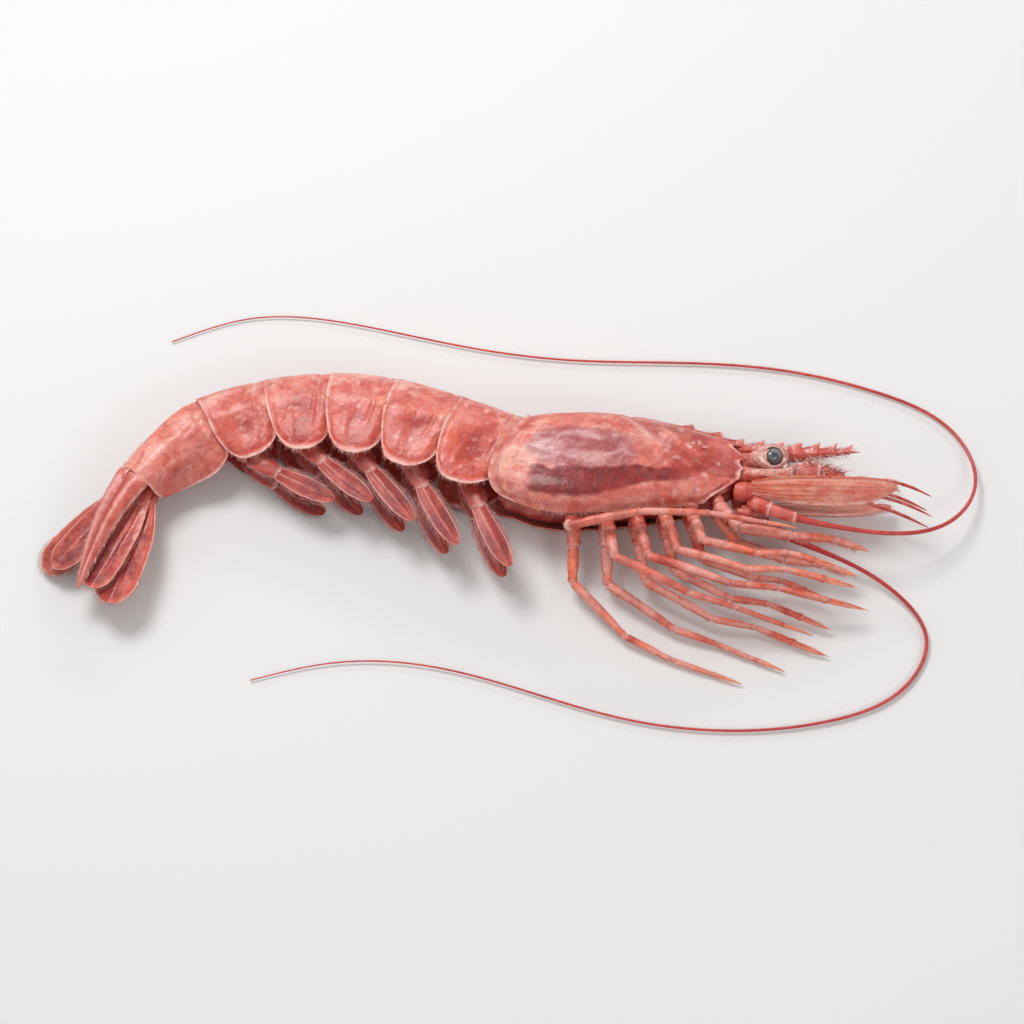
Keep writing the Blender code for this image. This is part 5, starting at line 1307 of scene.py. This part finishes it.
def swimmeret(i, side, sgn):
    s = np.array(SEGMENT_ENDS[i - 1] * 0.5 + SEGMENT_ENDS[i] * 0.5 + (2.2 if i == 1 else 1.0))
    long = 19.2 - 0.7 * i
    p, t, d, l = (a[()] for a in frames(s))
    lean = (1.0 if i > 1 else 0.92) if sgn > 0 else 0.84
    root = p - d * (belly(s) + (3.2 if i == 5 else 0.7)) + l * (sgn * 3.3)
    bow = 0.7 if sgn > 0 else -0.2

    def at(q, off_axial=0.0, off_side=0.0):
        q = np.asarray(q, float)
        c = root - np.multiply.outer(q, d) * long - np.multiply.outer(np.abs(q) ** 1.25, t) * (long * lean) + np.multiply.outer(np.sin(2.4 * q), l) * bow
        return c + t * off_axial + l * off_side

    rng = np.random.default_rng(900 + i * 2 + int(sgn > 0))
    b = Build()
    tone = mix(CORAL, RED, np.array(0.45 + 0.05 * ((i * 3) % 4)))
    # stout flattened base with a ridge down its face
    nu, nv = 46, 32
    q = np.linspace(-0.12, 0.43, nu)
    k = (q + 0.12) / 0.55
    line = at(np.maximum(q, 0)) + np.outer(np.minimum(q, 0) * long, -d * 0.9)
    axis = unit(np.gradient(line, axis=0))
    across = unit(np.cross(axis, np.broadcast_to(l, axis.shape)))
    nrm = np.cross(across, axis)
    ang = np.linspace(0, 2 * math.pi, nv, endpoint=False)
    wide = (1.75 + 0.85 * np.sin(math.pi * np.clip(k * 0.85 + 0.1, 0, 1))) * (1 - 0.20 * k) * (1 - 0.12 * hump(k, 0.30, 0.05))
    wide = wide * np.sqrt(np.clip(1 - np.clip((k - 0.9) / 0.1, 0, 1) ** 2, 0.15, 1))
    P = (line[:, None, :] + across[:, None, :] * (wide[:, None] * np.cos(ang)[None])[..., None]
         + nrm[:, None, :] * (wide[:, None] * 0.52 * np.sin(ang)[None] * (1 + 0.16 * np.cos(3 * ang)[None]))[..., None])
    P = P + unit(P - line[:, None, :]) * (0.13 * fbm(P, 2.2, 3, 95) + 0.035 * value_noise(P, 0.5, 96))[..., None]
    kk = np.broadcast_to(k[:, None], (nu, nv))
    col = mix(np.broadcast_to(tone, (nu, nv, 3)), SALMON, 0.35 + 0.9 * fbm(P, 3.0, 3, 94))
    col = mix(col, PALE, 0.55 * hump(np.cos(ang)[None] + 0 * kk, 0.0, 0.35) * smooth(0.3 + 2 * fbm(P, 2.2, 3, 93)))
    col = mix(col, RED, 0.60 * hump(kk, 0.30, 0.05) + 0.35 * smooth((kk - 0.55) / 0.3))
    col = mix(col, RIM, 0.60 * hump(kk, 0.95, 0.04) + 0.45 * smooth((np.abs(np.cos(ang))[None] - 0.93) / 0.06 + 0 * kk))
    loft(b, P, col)
    m = 50
    rows, cols = rng.integers(8, nu - 3, m), np.where(rng.random(m) < 0.5, 0, nv // 2)
    w = unit(P[rows, cols] - line[rows])
    hairs(b, P[rows, cols], w + axis[rows] * 1.1, rng.uniform(0.4, 1.2, m), 0.045, RIM)
    # two blades, the outer one longer
    for which, (q0, q1, wide, shift, side_off) in enumerate(((0.39, 1.0, 2.05, 0.35, 0.25 * sgn), (0.38, 0.84, 1.45, -1.05, -0.75 * sgn))):
        nu, nv = 58, 19
        u = np.linspace(0, 1, nu)[:, None] * np.ones((1, nv))
        v = np.linspace(-1, 1, nv)[None, :] * np.ones((nu, 1))
        qq = q0 + (q1 - q0) * u
        c0 = at(qq)
        axis = unit(np.gradient(at(qq[:, 0]), axis=0))
        across = unit(np.cross(axis, np.broadcast_to(l, axis.shape)))
        nrm = np.cross(across, axis)
        width = wide * (0.50 + 0.62 * np.sin(math.pi * np.clip(0.12 + 0.66 * u, 0, 1))) * np.sqrt(np.clip(1 - np.clip((u - 0.62) / 0.39, 0, 1) ** 2.2, 0, 1)) + 0.08
        width = width * (1 + 0.06 * fbm(np.stack([u * 20, np.sign(v), 0 * u], -1), 3, 2, 88 + i))
        bow_ = 0.42 * (1 - v**2) * (1 - u) + 0.5 * u * u * side_off
        P = (c0 + across[:, None, :] * (width * v + shift * (0.6 + 0.5 * u))[..., None]
             + nrm[:, None, :] * (bow_ + side_off * (0.4 + 0.6 * u))[..., None])
        seg = np.cos(u * 2 * math.pi * 13)
        P = P + nrm[:, None, :] * (0.05 * fbm(P, 2.2, 3, 97 + which)
                                   + 0.20 * hump(v, 0, 0.16) * (1 - 0.6 * u))[..., None]
        c = mix(np.broadcast_to(tone, P.shape), SALMON, 0.10 + 0.9 * fbm(P, 2.6, 3, 98))
        streak = fbm(np.stack([v * 7, u * 6, 0 * u + i], -1), 1.6, 3, 99 + i)
        c = mix(c, RED, 0.75 * smooth(0.25 + 2.4 * streak))
        c = mix(c, DEEP, 0.16 * smooth(-seg) * smooth((u - 0.1) / 0.2) + 0.55 * smooth((u - 0.25) / 0.5) * smooth(0.6 + 2 * streak))
        c = mix(c, PALE, 0.55 * hump(v, 0, 0.13) * (1 - u))
        c = mix(c, RIM, 0.70 * smooth((np.abs(v) - 0.82) / 0.18))
        c = mix(c, ORANGE, 0.30 * smooth((u - 0.7) / 0.3))
        nn = normals(P)
        facing = np.sign(np.mean(np.sum(nn * nrm[:, None, :], -1)))
        # painted shade: the back face of the blade is a slightly darker copy of this colour
        shell(b, P, 0.42 * (1 - 0.5 * u) * (1 - 0.4 * np.abs(v) ** 3), c, c * 0.9, flip=facing < 0)
        for j, dirn in ((0, -1.0), (nv - 1, 1.0)):
            m = 74 if which == 0 else 46
            rows = rng.uniform(0.12, 1.0, m)
            kk = np.clip((rows * (nu - 1)).astype(int), 0, nu - 1)
            hairs(b, P[kk, j], across[kk] * dirn + axis[kk] * (0.9 + 0.8 * rows[:, None]) + nrm[kk] * rng.normal(0, 0.1, (m, 1)),
                  rng.uniform(0.8, 1.8, m), 0.04, mix(CORAL, RED, 0.35 + 0.0 * rows), bend=axis[kk] * 0.2, tip_colour=RIM)
    return b.make(f"paddle_{i}_{side}", PADDLE, [f"swimmeret_{i}_{side}"])


# ------------------------------------------------------------------ tail fan
def telson():
    nu, nv = 116, 48
    s = np.linspace(94.3, TELSON_TIP, nu)[:, None] * np.ones((1, nv))
    a = np.linspace(0, 2 * math.pi, nv, endpoint=False)[None, :] * np.ones((nu, 1))
    t = np.clip((s - 95.2) / (TELSON_TIP - 95.2), 0, 1)
    w = 4.1 * (1 - t) ** 0.8 + 0.30
    h = 2.3 * (1 - t) ** 0.7 + 0.34
    mid = 2.2 * (1 - t) + 0.6
    start = smooth((s - 94.2) / 1.4) * 0.25 + 0.75
    across = w * np.sign(np.sin(a)) * np.abs(np.sin(a)) ** 0.85 * start
    up = np.where(np.cos(a) > 0, h * np.abs(np.cos(a)) ** 0.8, -h * 0.72 * np.abs(np.cos(a)) ** 0.8) * start
    groove = hump(np.sin(a), 0.0, 0.22) * (np.cos(a) > 0) * smooth(t / 0.1) * smooth((0.92 - t) / 0.3)
    ridge = hump(np.abs(np.sin(a)), 0.42, 0.16) * (np.cos(a) > 0) * smooth(t / 0.1)
    up = up - 0.62 * groove * (1 - t) ** 0.5 + 0.20 * ridge * (1 - t) ** 0.5
    p = body(s, across, mid + up)
    centre = body(s, 0 * a, mid)
    p = p + unit(p - centre) * (0.10 * fbm(p, 2.4, 3, 101) + 0.04 * fbm(p, 0.9, 2, 102))[..., None]
    c = mix(SALMON, CORAL, 0.5 + 0.8 * fbm(p, 4.0, 3, 103))
    c = mix(c, PALE, 0.45 * smooth(-0.1 + 1.8 * fbm(p * np.array([1, 0.5, 1]), 2.6, 3, 104)) * (1 - t))
    c = mix(c, RED, 0.55 * groove + 0.35 * t)
    c = mix(c, ORANGE, 0.7 * smooth((np.abs(np.sin(a)) - 0.86) / 0.1) * (np.cos(a) > -0.5))
    c = mix(c, RIM, 0.55 * ridge + 0.35 * hump(s, 95.2, 0.7))
    c = mix(c, RIM, 0.75 * smooth((np.abs(np.sin(a)) - 0.975) / 0.02) * smooth(t / 0.1))
    b = Build()
    loft(b, p, c)
    for _, sgn in SIDES:
        for sv in (108.0, 112.5, 116.5, 120.0):
            i = int((sv - 94.3) / (TELSON_TIP - 94.3) * (nu - 1))
            j = int(nv * (0.25 if sgn > 0 else 0.75))
            _, tt, dd, ll = frames(np.array(sv))
            spine(b, p[i, j], tt + ll * 0.5 * sgn, 1.1, 0.2, ORANGE, WHITE, sides=8)
        rng = np.random.default_rng(105)
        at = rng.uniform(100, 123.4, 120)
        i = ((at - 94.3) / (TELSON_TIP - 94.3) * (nu - 1)).astype(int)
        j = int(nv * (0.25 if sgn > 0 else 0.75))
        _, tt, dd, ll = frames(at)
        hairs(b, p[i, j], ll * sgn + tt * rng.uniform(0.6, 1.2, (120, 1)), rng.uniform(0.6, 1.3, 120), 0.045, mix(RIM, ORANGE, 0.4 + 0 * at))
    return b.make("telson_shell", SHELL, ["telson"])


def uropods():
    p, t, d, l = (a[()] for a in frames(np.array(96.5)))
    for side, sgn in SIDES:
        spread = 1.0 if sgn > 0 else 0.55
        for kind in ("inner", "outer"):
            b = Build()
            seed = 110 + (3 if kind == "outer" else 0) + (7 if sgn > 0 else 0)
            if kind == "inner":
                start = p + t * 0.6 + l * (sgn * 2.8) - d * 1.45
                way, length = t + l * (sgn * 0.17 * spread) - d * 0.05, 25.0
                widths = [1.5, 2.8, 3.6, 4.1, 4.3, 4.3, 4.1, 3.6]
            else:
                start = p + t * 0.2 + l * (sgn * 3.2) - d * 3.3
                way, length = t + l * (sgn * 0.35 * spread) - d * 0.06, 27.0
                widths = [1.6, 3.2, 4.5, 5.2, 5.5, 5.5, 5.2, 4.6]

            def colour(u, v, q):
                side_mm = (1 - np.abs(v)) * 5.0 * np.sqrt(np.clip(1 - np.clip((u - 0.80) / 0.20, 0, 1) ** 2.2, 0.0004, 1))
                tip_mm = (1 - u) * 26.0
                near = np.minimum(side_mm, tip_mm)
                c = mix(CORAL, SALMON, 0.35 + 0.9 * fbm(q, 3.2, 3, seed))
                c = mix(c, RED, 0.80 * smooth((u - 0.08) / 0.3) * smooth(0.55 + 1.6 * fbm(q * np.array([1, 0.4, 1]), 2.0, 3, seed + 1)))
                c = mix(c, DEEP, 0.55 * smooth((u - 0.30) / 0.5) * smooth((near - 1.0) / 0.8) * smooth(0.6 + 1.8 * fbm(q, 3.0, 3, seed + 4)))
                c = mix(c, ORANGE, 0.85 * hump(near, 0.62, 0.42) * (0.55 + 0.45 * (v > 0)))
                c = mix(c, RIM, 0.85 * np.exp(-((near / 0.22) ** 2)) + 0.40 * hump(v, 0.0, 0.05) * (1 - u))
                c = mix(c, RIM, 0.5 * hump(u, 0.02, 0.03))
                return c

            ribs = [(0.05, 0.30, 0.07), (-0.35, 0.12, 0.06), (0.45, 0.12, 0.06)]
            if kind == "outer":
                ribs.append((0.95, 0.30, 0.09))
            u, v, q, up, flat, toward = leaf(b, start, way, l * sgn, length, widths, 0.62, colour, camber=0.45, rib=ribs, seed=seed + 2, nu=84, nv=45, face=sgn,
                                             tear=0.15, round_tip=True)
            rng = np.random.default_rng(seed)
            for j, dirn in ((0, -1.0), (44, 1.0)):
                m = 200
                rows = rng.uniform(0.30, 1.0, m)
                if kind == "outer" and dirn > 0:
                    rows = rng.uniform(0.74, 1.0, m)
                k = np.clip((rows * 83).astype(int), 1, 82)
                outward = unit(np.cross(q[k + 1, j] - q[k - 1, j], up))
                outward = outward * np.sign(np.sum(outward * flat * dirn, -1) + 1e-6)[:, None]
                hairs(b, q[k, j], outward + toward * 0.7 + up * rng.normal(0, 0.06, (m, 1)),
                      rng.uniform(0.6, 1.3, m), 0.05, mix(CORAL, DEEP, 0.3 + 0 * rows), bend=toward * 0.15, tip_colour=mix(RIM, ORANGE, np.array(0.4)))
            if kind == "outer":
                spine(b, q[60, 43], toward + flat * 0.10, 1.9, 0.32, ORANGE, WHITE)
            # the short article that carries the blade
            tt = np.linspace(0, 1, 16)
            path = start - unit(way) * 2.6 + np.outer(tt, unit(way)) * 5.2 + d * 0.1
            rad = 1.55 + 0.45 * np.sin(math.pi * tt) - 0.5 * smooth((tt - 0.75) / 0.25)
            col = mix(CORAL, SALMON, 0.5 + 0 * tt)
            col = mix(col, RIM, 0.6 * hump(tt, 0.95, 0.08))
            tube(b, path, rad * (0.8 if kind == "inner" else 1.0), col, 20, flat=0.6, ref=d, relief=lambda g: 0.08 * fbm(g, 1.5, 3, 118))
            b.make(f"fan_{kind}_{side}", FAN, [f"uropod_{kind}_{side}"])


# ------------------------------------------------------------------ build everything
carapace()
carapace_core()
for number in range(1, 7):
    abdomen_plate(number)
abdomen_belly()
telson()
uropods()
for side_name, sign in SIDES:
    eye(side_name, sign)
    scale_and_base(side_name, sign)
    antennules(side_name, sign)
    antenna(side_name)
mouth()
for limb_name in LIMBS:
    limb(limb_name)
for number in range(1, 6):
    for side_name, sign in SIDES:
        swimmeret(number, side_name, sign)

# ------------------------------------------------------------------ floor, light, camera
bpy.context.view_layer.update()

scene = bpy.context.scene
floor_mesh = bpy.data.meshes.new("floor")
floor_mesh.from_pydata([(-3, -3, 0), (3, -3, 0), (3, 3, 0), (-3, 3, 0)], [], [(0, 1, 2, 3)])
floor = bpy.data.objects.new("floor", floor_mesh)
scene.collection.objects.link(floor)
fm = bpy.data.materials.new("floor_paper")
fm.use_nodes = True
fb = fm.node_tree.nodes["Principled BSDF"]
fb.inputs["Base Color"].default_value = (0.74, 0.74, 0.735, 1)
fb.inputs["Roughness"].default_value = 0.75
fb.inputs["Specular IOR Level"].default_value = 0.2
floor_mesh.materials.append(fm)

world = bpy.data.worlds.new("studio")
scene.world = world
world.use_nodes = True
world.node_tree.nodes["Background"].inputs[0].default_value = (1.0, 0.99, 0.98, 1)
world.node_tree.nodes["Background"].inputs[1].default_value = 0.56


def area(name, place, size, power, target=(0, 0, 0.01), colour=(1, 1, 1)):
    light = bpy.data.lights.new(name, "AREA")
    light.shape = "RECTANGLE"
    light.size, light.size_y = size
    light.energy = power
    light.color = colour
    o = bpy.data.objects.new(name, light)
    scene.collection.objects.link(o)
    o.location = place
    o.rotation_mode = "QUATERNION"
    o.rotation_quaternion = (Vector(target) - Vector(place)).to_track_quat("-Z", "Y")
    return o


area("key", (-0.24, 0.26, 0.60), (0.26, 0.22), 2.75)
area("fill", (0.42, -0.36, 0.5), (0.26, 0.20), 0.75)
area("strip", (0.10, 0.52, 0.30), (0.34, 0.05), 0.45)

camera = bpy.data.cameras.new("camera")
camera.lens = 110
camera.sensor_width = 36
camera.clip_start = 0.01
cam = bpy.data.objects.new("camera", camera)
scene.collection.objects.link(cam)
azimuth, elevation, distance = math.radians(6), math.radians(68), 0.72
back_dir = Vector((math.sin(azimuth) * math.cos(elevation), -math.cos(azimuth) * math.cos(elevation), math.sin(elevation)))
target = Vector((0.0, 0.0, 0.006))
cam.location = target + back_dir * distance
cam.rotation_mode = "QUATERNION"
cam.rotation_quaternion = (-back_dir).to_track_quat("-Z", "Y")
scene.camera = cam
scene.view_settings.view_transform = "Standard"
